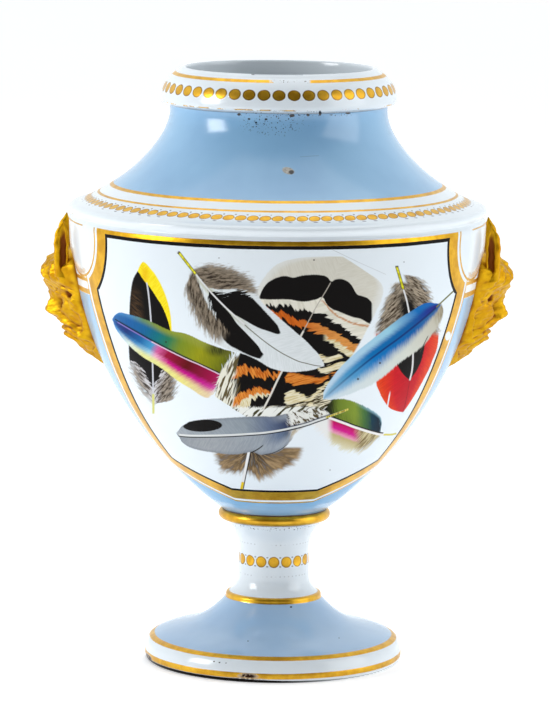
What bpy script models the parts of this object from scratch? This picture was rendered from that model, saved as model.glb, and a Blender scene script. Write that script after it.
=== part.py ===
"""Porcelain mantel urn: foot, waisted stem, collar, bowl, ridged shoulder,
cavetto neck and rounded lip, turned as one hollow body, with a bearded satyr
mask luted on to each side.

Metres, +Z up. The origin is on the axis, at the plane the foot ring stands
on. The painted front looks along -Y, the masks look along +X and -X.
"""
import math

import bmesh
import bpy
from mathutils import Vector

MM = 0.001

# ---- driving dimensions, millimetres -------------------------------------
HEIGHT = 170.0            # foot ring to the top of the lip
SEGMENTS = 48             # facets round the axis
WALL = 4.0                # fired wall of bowl and neck

FOOT_R = 36.8             # widest radius of the foot
FOOT_RING_R = 35.9        # outer radius of the flat resting ring
FOOT_RING_IN = 30.6       # inner radius of the flat resting ring
FOOT_EDGE_Z = 3.0         # top of the upright foot edge
FOOT_BAND_R = 34.3        # where the rounded band meets the dome
FOOT_BAND_Z = 7.0
STEM_BASE_R = 13.3        # gilt line between dome and stem
STEM_BASE_Z = 18.4
STEM_WAIST_R = 10.05      # narrowest part of the stem
STEM_WAIST_Z = 28.5
STEM_TOP_R = 13.6
STEM_TOP_Z = 40.2
COLLAR_Z = 42.1           # middle of the half-round collar
COLLAR_R = 16.0
COLLAR_HALF = 1.5
BOWL_BASE_R = 15.0
BOWL_BASE_Z = 43.8
BOWL_TOP_R = 59.2         # widest radius of the bowl
BOWL_TOP_Z = 125.0
RIDGE_R = 59.35           # rounded ridge round the shoulder
RIDGE_Z = 130.0
SHOULDER_R = 47.3         # where the sloping shoulder meets the neck
SHOULDER_Z = 136.6
NECK_R = 30.8             # top of the cavetto neck
NECK_Z = 158.4
LIP_R = 33.4              # widest radius of the lip
LIP_Z = 160.9
LIP_TOP_R = 27.9
MOUTH_R = 26.4            # clear radius of the mouth
BOWL_FLOOR_Z = 50.0       # inside floor of the bowl, on the axis
HOLLOW_R = 5.4            # hollow in the stem, open below
HOLLOW_TOP_Z = 35.0

# the mask: heights of its features, how far each stands proud of the bowl on
# the centre line, and the half width of the head there
MASK_LEVELS = (
    # z      proud  half width
    (84.8,   0.2,   0.8),    # tip of the beard
    (88.6,   4.0,   4.6),    # strands of the beard
    (92.0,   6.6,   7.4),
    (94.6,   9.0,   9.0),    # chin
    (97.2,   9.2,   10.0),   # mouth
    (99.4,   10.9,  10.6),   # under the nose
    (101.4,  11.2,  11.0),   # tip of the nose
    (104.6,  9.3,   11.4),   # bridge of the nose
    (107.6,  9.1,   12.0),   # brow
    (111.0,  9.2,   13.2),   # curls over the brow
    (114.2,  6.9,   13.0),
    (116.8,  3.6,   10.5),   # crown
    (118.2,  0.6,   7.0),
)
MASK_COLUMNS = 10
MASK_ROWS = 21
MASK_BED = 1.6            # how far the mask beds into the wall
EAR_BASE_Z = 112.5
EAR_TIP_Z = 128.6
EAR_OUT = 10.3            # sideways distance of the ear from the centre line
EAR_SIDES = 8
EAR_RINGS = 6


# ---- geometry ------------------------------------------------------------
def bezier(p0, p1, p2, p3, n, first=True):
    """n + 1 points along a cubic arc, or n without the first."""
    out = []
    for i in range(0 if first else 1, n + 1):
        t = i / n
        a, b, c, d = (1 - t) ** 3, 3 * (1 - t) ** 2 * t, 3 * (1 - t) * t * t, t ** 3
        out.append(tuple(a * p0[k] + b * p1[k] + c * p2[k] + d * p3[k] for k in (0, 1)))
    return out


def parallel(points, distance):
    """The points moved sideways, to the right of their direction of travel."""
    out = []
    for i, (r, z) in enumerate(points):
        r0, z0 = points[max(i - 1, 0)]
        r1, z1 = points[min(i + 1, len(points) - 1)]
        length = math.hypot(r1 - r0, z1 - z0)
        out.append((r + (z1 - z0) / length * distance, z - (r1 - r0) / length * distance))
    return out


def foot_profile():
    """Resting ring, upright edge, rounded band and ogee dome, going up."""
    edge = [(FOOT_RING_R, 0.0), (FOOT_R - 0.15, 0.7), (FOOT_R, 1.9), (FOOT_R - 0.1, FOOT_EDGE_Z)]
    band = bezier((FOOT_R - 0.1, FOOT_EDGE_Z), (FOOT_R - 0.2, 5.0), (FOOT_R - 1.2, 6.5),
                  (FOOT_BAND_R, FOOT_BAND_Z), 3, False)
    dome = bezier((FOOT_BAND_R, FOOT_BAND_Z), (28.0, 9.8), (21.6, 8.8),
                  (STEM_BASE_R, STEM_BASE_Z), 6, False)
    return edge + band + dome


def stem_profile():
    """Waisted stem and the half-round collar, going up."""
    low = bezier((STEM_BASE_R, STEM_BASE_Z), (8.6, 20.9), (10.8, 26.2),
                 (STEM_WAIST_R, STEM_WAIST_Z), 4, False)
    high = bezier((STEM_WAIST_R, STEM_WAIST_Z), (9.9, 35.9), (11.0, 36.2),
                  (STEM_TOP_R, STEM_TOP_Z), 4, False)
    collar = []
    for i in range(4):
        a = math.radians(-75 + 50 * i)
        collar.append((COLLAR_R - COLLAR_HALF + COLLAR_HALF * math.cos(a),
                       COLLAR_Z + COLLAR_HALF * math.sin(a)))
    return low + high + collar


def bowl_profile(n):
    return bezier((BOWL_BASE_R, BOWL_BASE_Z), (39.4, 61.3), (58.4, 93.4),
                  (BOWL_TOP_R, BOWL_TOP_Z), n)


def shoulder_profile():
    """Fillet under the ridge, the rounded ridge and the sloping shoulder."""
    return [(BOWL_TOP_R - 0.1, 127.0), (BOWL_TOP_R - 0.7, 128.1), (RIDGE_R - 0.4, 129.0),
            (RIDGE_R, RIDGE_Z), (RIDGE_R - 0.7, RIDGE_Z + 1.0), (RIDGE_R - 2.6, RIDGE_Z + 1.5),
            (54.3, 132.5), (50.3, 134.7), (SHOULDER_R, SHOULDER_Z)]


def neck_profile(n, first=False):
    return bezier((SHOULDER_R, SHOULDER_Z), (39.6, 141.2), (30.4, 151.1), (NECK_R, NECK_Z), n, first)


def lip_profile():
    """Quirk under the lip, its rounded outside and the flat rim."""
    quirk = [(NECK_R + 0.2, 159.4), (LIP_R - 0.9, 159.9)]
    out = bezier((LIP_R, LIP_Z), (LIP_R + 0.1, 165.0), (30.7, 168.3), (LIP_TOP_R, 169.6), 4)
    return quirk + out + [(LIP_TOP_R - 0.3, HEIGHT), (MOUTH_R + 0.15, HEIGHT), (MOUTH_R, HEIGHT - 0.3)]


def inside_profile():
    """Mouth, neck and bowl inside, going down to the axis."""
    neck = parallel(neck_profile(5, True), -WALL)
    neck = [p for p in reversed(neck) if p[1] < 157.0]
    bowl = [p for p in reversed(parallel(bowl_profile(8), -WALL)) if p[1] > BOWL_FLOOR_Z + 2.2]
    floor_r = bowl[-1][0]
    return ([(MOUTH_R, 163.5), (NECK_R - WALL, 157.5)] + neck
            + [(SHOULDER_R + 1.2, 132.0), (BOWL_TOP_R - WALL - 1.4, 129.0)] + bowl
            + [(floor_r * 0.55, BOWL_FLOOR_Z + 0.7), (0.0, BOWL_FLOOR_Z)])


def underside_profile():
    """From the axis at the top of the stem's hollow down to the resting ring."""
    return [(0.0, HOLLOW_TOP_Z), (HOLLOW_R * 0.75, HOLLOW_TOP_Z - 1.0), (HOLLOW_R, HOLLOW_TOP_Z - 4.0),
            (HOLLOW_R + 0.2, 19.0), (10.0, 13.6), (18.5, 8.6), (27.0, 5.0),
            (FOOT_RING_IN - 0.5, 2.4), (FOOT_RING_IN, 0.0)]


def turned(name, profile, segments):
    """A closed solid turned round Z. The profile starts and ends on the axis."""
    bm = bmesh.new()
    rings = []
    for r, z in profile:
        if r < 1e-9:
            rings.append([bm.verts.new((0, 0, z * MM))])
            continue
        rings.append([bm.verts.new((r * MM * math.cos(2 * math.pi * i / segments),
                                    r * MM * math.sin(2 * math.pi * i / segments), z * MM))
                      for i in range(segments)])
    for low, high in zip(rings, rings[1:]):
        for i in range(segments):
            j = (i + 1) % segments
            if len(low) == 1:
                bm.faces.new((low[0], high[j], high[i]))
            elif len(high) == 1:
                bm.faces.new((low[i], low[j], high[0]))
            else:
                bm.faces.new((low[i], low[j], high[j], high[i]))
    bmesh.ops.recalc_face_normals(bm, faces=bm.faces)
    mesh = bpy.data.meshes.new(name)
    bm.to_mesh(mesh)
    bm.free()
    obj = bpy.data.objects.new(name, mesh)
    bpy.context.scene.collection.objects.link(obj)
    return obj


def bowl_radius(z, profile):
    """Outside radius of the bowl at a height."""
    for (r0, z0), (r1, z1) in zip(profile, profile[1:]):
        if z0 <= z <= z1:
            return r0 + (r1 - r0) * (z - z0) / (z1 - z0)
    return profile[-1][0]


def level(z, column):
    """A mask dimension at a height, eased between the named levels."""
    rows = MASK_LEVELS
    if z <= rows[0][0]:
        return rows[0][column]
    for a, b in zip(rows, rows[1:]):
        if z <= b[0]:
            t = (z - a[0]) / (b[0] - a[0])
            return a[column] + (b[column] - a[column]) * t
    return rows[-1][column]


def bump(w, z, w0, z0, sw, sz):
    return math.exp(-((w - w0) / sw) ** 2 - ((z - z0) / sz) ** 2)


def mask_relief(w, z):
    """How far the face stands out of the bowl, w millimetres from its centre line."""
    half = level(z, 2)
    u = min(abs(w) / half, 1.0)
    out = level(z, 1)
    side = (1 - u ** 2.4) ** 0.6
    relief = (0.25 + 0.75 * side) * out * (0.8 + 0.2 * side)
    a = abs(w)
    nose = math.exp(-((z - 102.5) / 4.6) ** 4)
    relief -= 3.0 * nose * min(a / 2.6, 1.0)             # flanks of the nose
    relief -= 1.5 * bump(a, z, 4.8, 103.6, 2.0, 1.5)       # eye sockets
    relief += 1.2 * bump(a, z, 4.6, 106.7, 3.4, 1.2)       # brows
    relief += 0.9 * bump(a, z, 6.0, 99.6, 2.4, 2.2)        # cheeks
    relief -= 1.3 * bump(a, z, 0.0, 97.0, 3.4, 0.8)        # parted lips
    if z < 95.0:
        relief += 0.5 * math.cos(w * 1.9)                  # strands of the beard
    if z > 108.5:
        relief += 0.6 * math.cos(w * 1.55) * math.cos((z - 110.8) * 0.9)   # curls
    return max(relief, 0.25)


def mask(name, side, profile):
    """The head as a closed relief whose back follows the bowl inside its wall."""
    z_low, z_high = MASK_LEVELS[0][0], MASK_LEVELS[-1][0]
    bm = bmesh.new()

    def grid(front):
        rows = []
        for j in range(MASK_ROWS + 1):
            z = z_low + (z_high - z_low) * j / MASK_ROWS
            half = level(z, 2)
            row = []
            for i in range(MASK_COLUMNS + 1):
                w = half * math.sin(math.pi / 2 * (-1 + 2 * i / MASK_COLUMNS))
                x = math.sqrt(bowl_radius(z, profile) ** 2 - w * w)
                x += mask_relief(w, z) if front else -MASK_BED
                row.append(bm.verts.new((side * x * MM, side * w * MM, z * MM)))
            rows.append(row)
        return rows

    front, back = grid(True), grid(False)
    for rows in (front, back):
        for a, b in zip(rows, rows[1:]):
            for i in range(MASK_COLUMNS):
                bm.faces.new((a[i], a[i + 1], b[i + 1], b[i]))
    for j in range(MASK_ROWS):
        for i in (0, MASK_COLUMNS):
            bm.faces.new((front[j][i], front[j + 1][i], back[j + 1][i], back[j][i]))
    for i in range(MASK_COLUMNS):
        for j in (0, MASK_ROWS):
            bm.faces.new((front[j][i], front[j][i + 1], back[j][i + 1], back[j][i]))
    bmesh.ops.recalc_face_normals(bm, faces=bm.faces)
    mesh = bpy.data.meshes.new(name)
    bm.to_mesh(mesh)
    bm.free()
    obj = bpy.data.objects.new(name, mesh)
    bpy.context.scene.collection.objects.link(obj)
    return obj


def ear(name, side, lateral, profile):
    """A pointed ear, standing up beside the crown and leaning on the ridge."""
    bm = bmesh.new()
    rings = []
    for j in range(EAR_RINGS):
        t = j / EAR_RINGS
        z = EAR_BASE_Z + (EAR_TIP_Z - EAR_BASE_Z) * t
        swell = math.sin(math.pi * (0.22 + 0.78 * t)) ** 0.8
        thick, deep = 1.9 * swell + 0.3, 3.0 * swell + 0.4
        w0 = lateral * (EAR_OUT + 1.0 * t)
        x0 = math.sqrt(bowl_radius(z, profile) ** 2 - w0 * w0) + 1.9
        ring = []
        for i in range(EAR_SIDES):
            a = 2 * math.pi * (i + 0.5) / EAR_SIDES
            x = x0 + deep * math.cos(a)
            w = w0 + thick * math.sin(a)
            ring.append(bm.verts.new((side * x * MM, side * w * MM, z * MM)))
        rings.append(ring)
    w0 = lateral * (EAR_OUT + 1.0)
    x0 = math.sqrt(bowl_radius(EAR_TIP_Z, profile) ** 2 - w0 * w0) + 1.2
    tip = bm.verts.new((side * x0 * MM, side * w0 * MM, EAR_TIP_Z * MM))
    for a, b in zip(rings, rings[1:]):
        for i in range(EAR_SIDES):
            j = (i + 1) % EAR_SIDES
            bm.faces.new((a[i], a[j], b[j], b[i]))
    for i in range(EAR_SIDES):
        bm.faces.new((rings[-1][i], rings[-1][(i + 1) % EAR_SIDES], tip))
    bm.faces.new(rings[0])
    bmesh.ops.recalc_face_normals(bm, faces=bm.faces)
    mesh = bpy.data.meshes.new(name)
    bm.to_mesh(mesh)
    bm.free()
    obj = bpy.data.objects.new(name, mesh)
    bpy.context.scene.collection.objects.link(obj)
    return obj


def join_by_union(body, extra):
    """Adds a solid to the body with a Boolean and hides the solid."""
    mod = body.modifiers.new("union_" + extra.name, 'BOOLEAN')
    mod.operation = 'UNION'
    mod.solver = 'EXACT'
    mod.object = extra
    extra.display_type = 'WIRE'
    extra.hide_render = True
    extra.parent = body


def porcelain():
    mat = bpy.data.materials.new("glazed_porcelain")
    mat.use_nodes = True
    shader = mat.node_tree.nodes["Principled BSDF"]
    shader.inputs["Base Color"].default_value = (0.62, 0.72, 0.80, 1.0)
    shader.inputs["Roughness"].default_value = 0.12
    shader.inputs["Metallic"].default_value = 0.0
    return mat


def main():
    for obj in list(bpy.data.objects):
        bpy.data.objects.remove(obj, do_unlink=True)

    outline = (underside_profile() + foot_profile() + stem_profile() + bowl_profile(9)
               + shoulder_profile() + neck_profile(6) + lip_profile() + inside_profile())
    urn = turned("mantel_urn", outline, SEGMENTS)
    urn.data.materials.append(porcelain())
    for poly in urn.data.polygons:
        poly.use_smooth = True
    urn.data.set_sharp_from_angle(angle=math.radians(35))

    wall = bowl_profile(40) + [(BOWL_TOP_R - 0.1, 127.0), (BOWL_TOP_R - 0.7, 128.1), (RIDGE_R - 0.4, 129.0)]
    for label, side in (("right", 1), ("left", -1)):
        join_by_union(urn, mask("mask_" + label, side, wall))
        for ear_label, lateral in (("front", -side), ("back", side)):
            join_by_union(urn, ear("ear_" + label + "_" + ear_label, side, lateral, wall))


main()
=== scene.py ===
"""Looks of the porcelain mantel urn: the glazed and gilt body, its painted
front panel and the two gilt satyr masks."""
import math

import bpy
import bmesh
import numpy as np
from mathutils import Matrix, Vector

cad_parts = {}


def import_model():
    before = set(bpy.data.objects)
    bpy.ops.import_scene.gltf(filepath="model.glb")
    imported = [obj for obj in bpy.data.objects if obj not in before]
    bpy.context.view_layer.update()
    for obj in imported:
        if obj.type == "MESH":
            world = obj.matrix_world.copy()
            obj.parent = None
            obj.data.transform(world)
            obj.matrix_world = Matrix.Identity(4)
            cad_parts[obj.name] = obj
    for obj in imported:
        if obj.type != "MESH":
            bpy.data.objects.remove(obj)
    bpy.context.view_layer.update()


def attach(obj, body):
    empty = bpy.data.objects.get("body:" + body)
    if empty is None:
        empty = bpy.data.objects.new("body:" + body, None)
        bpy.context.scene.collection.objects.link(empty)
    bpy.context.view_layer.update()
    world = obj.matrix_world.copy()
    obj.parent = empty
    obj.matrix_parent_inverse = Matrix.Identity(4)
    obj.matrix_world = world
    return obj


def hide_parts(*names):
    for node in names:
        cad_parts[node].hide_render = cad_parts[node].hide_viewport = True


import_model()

MM = 0.001
TAU = 2 * math.pi

# ---- the turned outline, in millimetres ----------------------------------
HEIGHT = 170.0
WALL = 4.0
FOOT_R, FOOT_RING_R, FOOT_RING_IN = 36.8, 35.9, 30.6
STEM_BASE = (13.3, 18.4)
STEM_WAIST = (10.05, 28.5)
STEM_TOP = (13.6, 40.2)
COLLAR_Z, COLLAR_R, COLLAR_HALF = 42.1, 16.0, 1.5
BOWL_BASE, BOWL_TOP = (15.0, 43.8), (59.2, 125.0)
RIDGE_R, RIDGE_Z = 59.3, 130.0
SHOULDER = (47.3, 136.6)
NECK = (30.8, 158.4)
LIP_R, LIP_Z, LIP_TOP_R, MOUTH_R = 33.4, 160.9, 27.9, 26.4


def bezier(p0, p1, p2, p3, n, first=False):
    out = []
    for i in range(0 if first else 1, n + 1):
        t = i / n
        a, b, c, d = (1 - t) ** 3, 3 * (1 - t) ** 2 * t, 3 * (1 - t) * t * t, t ** 3
        out.append(tuple(a * p0[k] + b * p1[k] + c * p2[k] + d * p3[k] for k in (0, 1)))
    return out


def smooth_line(points, step, least=2):
    """Points read from a smooth curve through the given ones (Catmull-Rom)."""
    p = [np.array(q, float) for q in points]
    p = [2 * p[0] - p[1]] + p + [2 * p[-1] - p[-2]]
    out = [tuple(p[1])]
    for i in range(1, len(p) - 2):
        n = max(least, int(np.linalg.norm(p[i + 1] - p[i]) / step))
        for k in range(1, n + 1):
            t = k / n
            q = 0.5 * ((2 * p[i]) + (-p[i - 1] + p[i + 1]) * t
                       + (2 * p[i - 1] - 5 * p[i] + 4 * p[i + 1] - p[i + 2]) * t * t
                       + (-p[i - 1] + 3 * p[i] - 3 * p[i + 1] + p[i + 2]) * t ** 3)
            out.append(tuple(q))
    return out


def outer_outline():
    foot = smooth_line([(FOOT_RING_R, 0.0), (36.45, 0.35), (36.72, 1.1), (FOOT_R, 2.0), (36.7, 3.0)], 0.3)
    foot += bezier((36.7, 3.0), (36.55, 5.1), (35.7, 6.55), (34.3, 7.0), 12)
    dome = bezier((34.3, 7.0), (28.0, 9.8), (21.6, 8.8), (13.9, 17.75), 32)
    bead = smooth_line([(13.9, 17.75), (13.72, 18.15), (13.62, 18.9), (13.3, 19.3), (12.75, 19.45)], 0.15)[1:]
    low = bezier((12.75, 19.45), (9.3, 21.7), (10.6, 25.4), STEM_WAIST, 16)
    high = bezier(STEM_WAIST, (9.9, 35.9), (11.0, 36.2), (13.5, 40.1), 18)
    collar = []
    for i in range(17):
        a = math.radians(-84 + 168 * i / 16)
        collar.append((COLLAR_R - COLLAR_HALF + COLLAR_HALF * math.cos(a), COLLAR_Z + COLLAR_HALF * math.sin(a)))
    bowl = [(14.75, 43.68)] + bezier(BOWL_BASE, (39.4, 61.3), (58.4, 93.4), BOWL_TOP, 64, True)
    ridge = smooth_line([BOWL_TOP, (59.2, 126.2), (58.95, 127.3), (58.45, 128.1), (58.5, 128.6), (58.95, 129.1),
                         (RIDGE_R, RIDGE_Z), (59.05, 130.7), (58.2, 131.2), (56.6, 131.65), (54.3, 132.6),
                         (50.6, 134.6), (48.6, 135.8), SHOULDER], 0.35)[1:]
    neck = bezier(SHOULDER, (39.6, 141.2), (30.4, 151.1), NECK, 32)
    lip = smooth_line([NECK, (30.85, 159.2), (31.2, 159.75), (32.2, 159.95), (33.0, 160.2), (LIP_R, 160.9)], 0.2)[1:]
    lip += bezier((LIP_R, 160.9), (33.5, 165.0), (30.9, 167.9), (28.6, 169.0), 20)
    rim = smooth_line([(28.6, 169.0), (28.1, 169.45), (27.6, 169.8), (27.1, 169.97), (26.75, 169.98),
                       (26.5, 169.7), (MOUTH_R, 169.2)], 0.15)[1:]
    return foot + dome + bead + low + high + collar + bowl + ridge + neck + lip + rim


def parallel(points, distance):
    out = []
    for i, (r, z) in enumerate(points):
        r0, z0 = points[max(i - 1, 0)]
        r1, z1 = points[min(i + 1, len(points) - 1)]
        length = math.hypot(r1 - r0, z1 - z0)
        out.append((r + (z1 - z0) / length * distance, z - (r1 - r0) / length * distance))
    return out


def inner_outline():
    neck = [p for p in reversed(parallel(bezier(SHOULDER, (39.6, 141.2), (30.4, 151.1), NECK, 9, True), -WALL))
            if p[1] < 157.0]
    bowl = [p for p in reversed(parallel(bezier(BOWL_BASE, (39.4, 61.3), (58.4, 93.4), BOWL_TOP, 20, True), -WALL))
            if p[1] > 53.0]
    points = ([(MOUTH_R, 168.4), (MOUTH_R, 163.5), (26.75, 157.5)] + neck + [(48.6, 132.0), (53.6, 129.2)]
              + bowl + [(bowl[-1][0] * 0.5, 50.9)])
    return smooth_line(points, 3.5, 1) + [(3.0, 50.05), (0.0, 50.0)]


def under_outline():
    points = [(4.0, 34.2), (5.4, 31.0), (5.6, 19.0), (10.0, 13.6), (18.5, 8.6), (27.0, 5.0), (30.1, 2.4)]
    ring = [(FOOT_RING_IN, 0.35), (FOOT_RING_IN + 0.35, 0.0)]
    return [(0.0, 35.0)] + smooth_line(points, 2.0) + ring


UNDER, OUTER, INNER = under_outline(), outer_outline(), inner_outline()
OUTER_S = [0.0]
for (_r0, _z0), (_r1, _z1) in zip(OUTER, OUTER[1:]):
    OUTER_S.append(OUTER_S[-1] + math.hypot(_r1 - _r0, _z1 - _z0))
S_END = OUTER_S[-1]
_ZS = np.maximum.accumulate(np.array([p[1] for p in OUTER])) + np.arange(len(OUTER)) * 1e-7
_RS = np.array([p[0] for p in OUTER])


def s_of(z):
    """Distance along the outside, in millimetres from the foot ring, at a height."""
    return float(np.interp(z, _ZS, OUTER_S))


def r_of(z):
    return float(np.interp(z, _ZS, _RS))


# ---- arithmetic in shader nodes ------------------------------------------
class Val:
    """A number in a shader, built up with ordinary arithmetic."""

    def __init__(self, graph, socket):
        self.g, self.s = graph, socket
        graph.count += 1
        self.k = graph.count

    def __add__(self, o): return self.g.math('ADD', self, o)
    def __radd__(self, o): return self.g.math('ADD', o, self)
    def __sub__(self, o): return self.g.math('SUBTRACT', self, o)
    def __rsub__(self, o): return self.g.math('SUBTRACT', o, self)
    def __mul__(self, o): return self.g.math('MULTIPLY', self, o)
    def __rmul__(self, o): return self.g.math('MULTIPLY', o, self)
    def __truediv__(self, o): return self.g.math('DIVIDE', self, o)
    def __rtruediv__(self, o): return self.g.math('DIVIDE', o, self)
    def __neg__(self): return self.g.math('MULTIPLY', self, -1.0)
    def __pow__(self, o): return self.g.math('POWER', self, o)


def mark(a):
    if isinstance(a, Val):
        return ('value', a.k)
    if isinstance(a, (list, tuple)):
        return tuple(mark(b) for b in a)
    return a


def once(make):
    """The same call gives the same node, so that no node is in the tree twice."""
    def kept(self, *args, **named):
        key = (make.__name__, mark(args), tuple(sorted((k, mark(v)) for k, v in named.items())))
        if key not in self.made:
            self.made[key] = make(self, *args, **named)
        return self.made[key]
    return kept


class Graph:
    def __init__(self, name):
        self.count = 0
        self.made = {}
        self.mat = bpy.data.materials.new(name)
        self.mat.use_nodes = True
        self.nt = self.mat.node_tree
        self.nt.nodes.clear()
        self.out = self.nt.nodes.new('ShaderNodeOutputMaterial')
        self.geo = self.nt.nodes.new('ShaderNodeTexCoord')

    def put(self, socket, value):
        if isinstance(value, Val):
            self.nt.links.new(value.s, socket)
        elif isinstance(value, (tuple, list)):
            if len(value) == 3 and len(socket.default_value) == 4:
                value = (*value, 1.0)
            socket.default_value = value
        else:
            socket.default_value = value

    def node(self, kind, inputs, output=0, **props):
        n = self.nt.nodes.new(kind)
        for key, value in props.items():
            setattr(n, key, value)
        for key, value in inputs.items():
            self.put(n.inputs[key], value)
        return Val(self, n.outputs[output])

    @once
    def math(self, op, *args):
        if not any(isinstance(a, Val) for a in args):
            raise ValueError(op)
        return self.node('ShaderNodeMath', dict(enumerate(args)), operation=op)

    def sin(self, a): return self.math('SINE', a)
    def cos(self, a): return self.math('COSINE', a)
    def abs(self, a): return self.math('ABSOLUTE', a)
    def frac(self, a): return self.math('FRACT', a)
    def floor(self, a): return self.math('FLOOR', a)
    def sqrt(self, a): return self.math('SQRT', a)
    def mad(self, a, b, c): return self.math('MULTIPLY_ADD', a, b, c)
    def min(self, a, b): return self.math('MINIMUM', a, b)
    def max(self, a, b): return self.math('MAXIMUM', a, b)
    def gt(self, a, b): return self.math('GREATER_THAN', a, b)
    def lt(self, a, b): return self.math('LESS_THAN', a, b)

    @once
    def step(self, x, a, b, lo=0.0, hi=1.0, kind='SMOOTHSTEP'):
        """lo below a, hi above b, eased between."""
        n = self.nt.nodes.new('ShaderNodeMapRange')
        n.interpolation_type = kind
        n.clamp = False
        if not isinstance(a, Val) and not isinstance(b, Val) and a > b:
            a, b, lo, hi = b, a, hi, lo
        for i, v in enumerate((x, a, b, lo, hi)):
            self.put(n.inputs[i], v)
        return Val(self, n.outputs[0])

    def band(self, x, a, b, soft):
        """1 between a and b."""
        mid, half = (a + b) / 2, (b - a) / 2
        return self.step(self.abs(x - mid), half - soft, half + soft, 1.0, 0.0)

    def position(self):
        n = self.nt.nodes.new('ShaderNodeSeparateXYZ')
        self.nt.links.new(self.geo.outputs['Object'], n.inputs[0])
        return [Val(self, n.outputs[i]) for i in range(3)]

    @once
    def noise(self, scale, detail=2.0, rough=0.5, vector=None, distort=0.0):
        n = self.nt.nodes.new('ShaderNodeTexNoise')
        n.noise_dimensions = '3D'
        self.nt.links.new(vector.s if vector is not None else self.geo.outputs['Object'], n.inputs['Vector'])
        n.inputs['Scale'].default_value = scale
        n.inputs['Detail'].default_value = detail
        n.inputs['Roughness'].default_value = rough
        n.inputs['Distortion'].default_value = distort
        return Val(self, n.outputs[0])

    @once
    def noise1(self, w, detail=1.0, rough=0.5):
        n = self.nt.nodes.new('ShaderNodeTexNoise')
        n.noise_dimensions = '1D'
        self.put(n.inputs['W'], w)
        n.inputs['Scale'].default_value = 1.0
        n.inputs['Detail'].default_value = detail
        n.inputs['Roughness'].default_value = rough
        return Val(self, n.outputs[0])

    @once
    def slow_place(self, scale):
        m = self.nt.nodes.new('ShaderNodeMapping')
        m.vector_type = 'POINT'
        m.inputs['Scale'].default_value = (scale, scale, scale)
        self.nt.links.new(self.geo.outputs['Object'], m.inputs['Vector'])
        return Val(self, m.outputs[0])

    @once
    def grain(self, w, slow=350.0, detail=2.0, rough=0.55):
        """Streaks that follow w and change only slowly over the surface."""
        n = self.nt.nodes.new('ShaderNodeTexNoise')
        n.noise_dimensions = '4D'
        self.nt.links.new(self.slow_place(slow).s, n.inputs['Vector'])
        self.put(n.inputs['W'], w)
        n.inputs['Scale'].default_value = 1.0
        n.inputs['Detail'].default_value = detail
        n.inputs['Roughness'].default_value = rough
        return Val(self, n.outputs[0])

    @once
    def attribute(self, name):
        n = self.nt.nodes.new('ShaderNodeAttribute')
        n.attribute_type = 'GEOMETRY'
        n.attribute_name = name
        return Val(self, n.outputs['Fac'])

    @once
    def mix(self, fac, a, b, kind='MIX'):
        n = self.nt.nodes.new('ShaderNodeMix')
        n.data_type = 'RGBA'
        n.blend_type = kind
        n.clamp_factor = True
        self.put(n.inputs[0], fac)
        self.put(n.inputs[6], a)
        self.put(n.inputs[7], b)
        return Val(self, n.outputs[2])

    @once
    def mixf(self, fac, a, b):
        n = self.nt.nodes.new('ShaderNodeMix')
        n.data_type = 'FLOAT'
        n.clamp_factor = True
        self.put(n.inputs[0], fac)
        self.put(n.inputs[2], a)
        self.put(n.inputs[3], b)
        return Val(self, n.outputs[0])

    @once
    def ramp(self, fac, stops, ease='LINEAR'):
        n = self.nt.nodes.new('ShaderNodeValToRGB')
        r = n.color_ramp
        r.interpolation = ease
        while len(r.elements) > 1:
            r.elements.remove(r.elements[-1])
        r.elements[0].position = stops[0][0]
        r.elements[0].color = (*stops[0][1], 1.0)
        for p, c in stops[1:]:
            r.elements.new(p).color = (*c, 1.0)
        self.put(n.inputs[0], fac)
        return Val(self, n.outputs[0])

    @once
    def curve(self, x, points, lo=0.0, hi=1.0, top=None):
        """A smooth function of x through the points, x from lo to hi."""
        top = top or max(p[1] for p in points)
        if (lo, hi) != (0.0, 1.0):
            x = (x - lo) * (1.0 / (hi - lo))
        n = self.nt.nodes.new('ShaderNodeFloatCurve')
        c = n.mapping.curves[0]
        pts = [((p[0] - lo) / (hi - lo), p[1] / top) for p in points]
        c.points[0].location, c.points[1].location = pts[0], pts[-1]
        for p in pts[1:-1]:
            c.points.new(*p)
        n.mapping.extend = 'HORIZONTAL'
        n.mapping.update()
        self.put(n.inputs['Value'], x)
        n.inputs['Factor'].default_value = 1.0
        return Val(self, n.outputs[0]) * top

    def signed_curve(self, x, points):
        low, high = min(p[1] for p in points), max(p[1] for p in points)
        lo, hi = points[0][0], points[-1][0]
        return self.curve(x, [(a, b - low) for a, b in points], lo, hi, top=high - low) + low

    def surface(self, colour, metal, rough, bump=None, strength=0.3, distance=0.0002, **values):
        n = self.nt.nodes.new('ShaderNodeBsdfPrincipled')
        self.put(n.inputs['Base Color'], colour)
        self.put(n.inputs['Metallic'], metal)
        self.put(n.inputs['Roughness'], rough)
        for key, value in values.items():
            self.put(n.inputs[key.replace('_', ' ')], value)
        if bump is not None:
            b = self.nt.nodes.new('ShaderNodeBump')
            b.inputs['Strength'].default_value = strength
            b.inputs['Distance'].default_value = distance
            self.put(b.inputs['Height'], bump)
            self.nt.links.new(b.outputs[0], n.inputs['Normal'])
        self.nt.links.new(n.outputs[0], self.out.inputs[0])
        return self.mat


def srgb(r, g, b):
    """A colour given as 0 to 255 display values."""
    return tuple((c / 255 / 12.92) if c / 255 <= 0.04045 else ((c / 255 + 0.055) / 1.055) ** 2.4 for c in (r, g, b))


# ---- body ----------------------------------------------------------------
SEGMENTS = 240
PANEL_PHI = math.radians(66.0)
PANEL_Z = (47.0, 128.0)


def phi_of(i):
    """Angle from the front, -Y, turning towards +X."""
    return TAU * i / SEGMENTS


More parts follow.
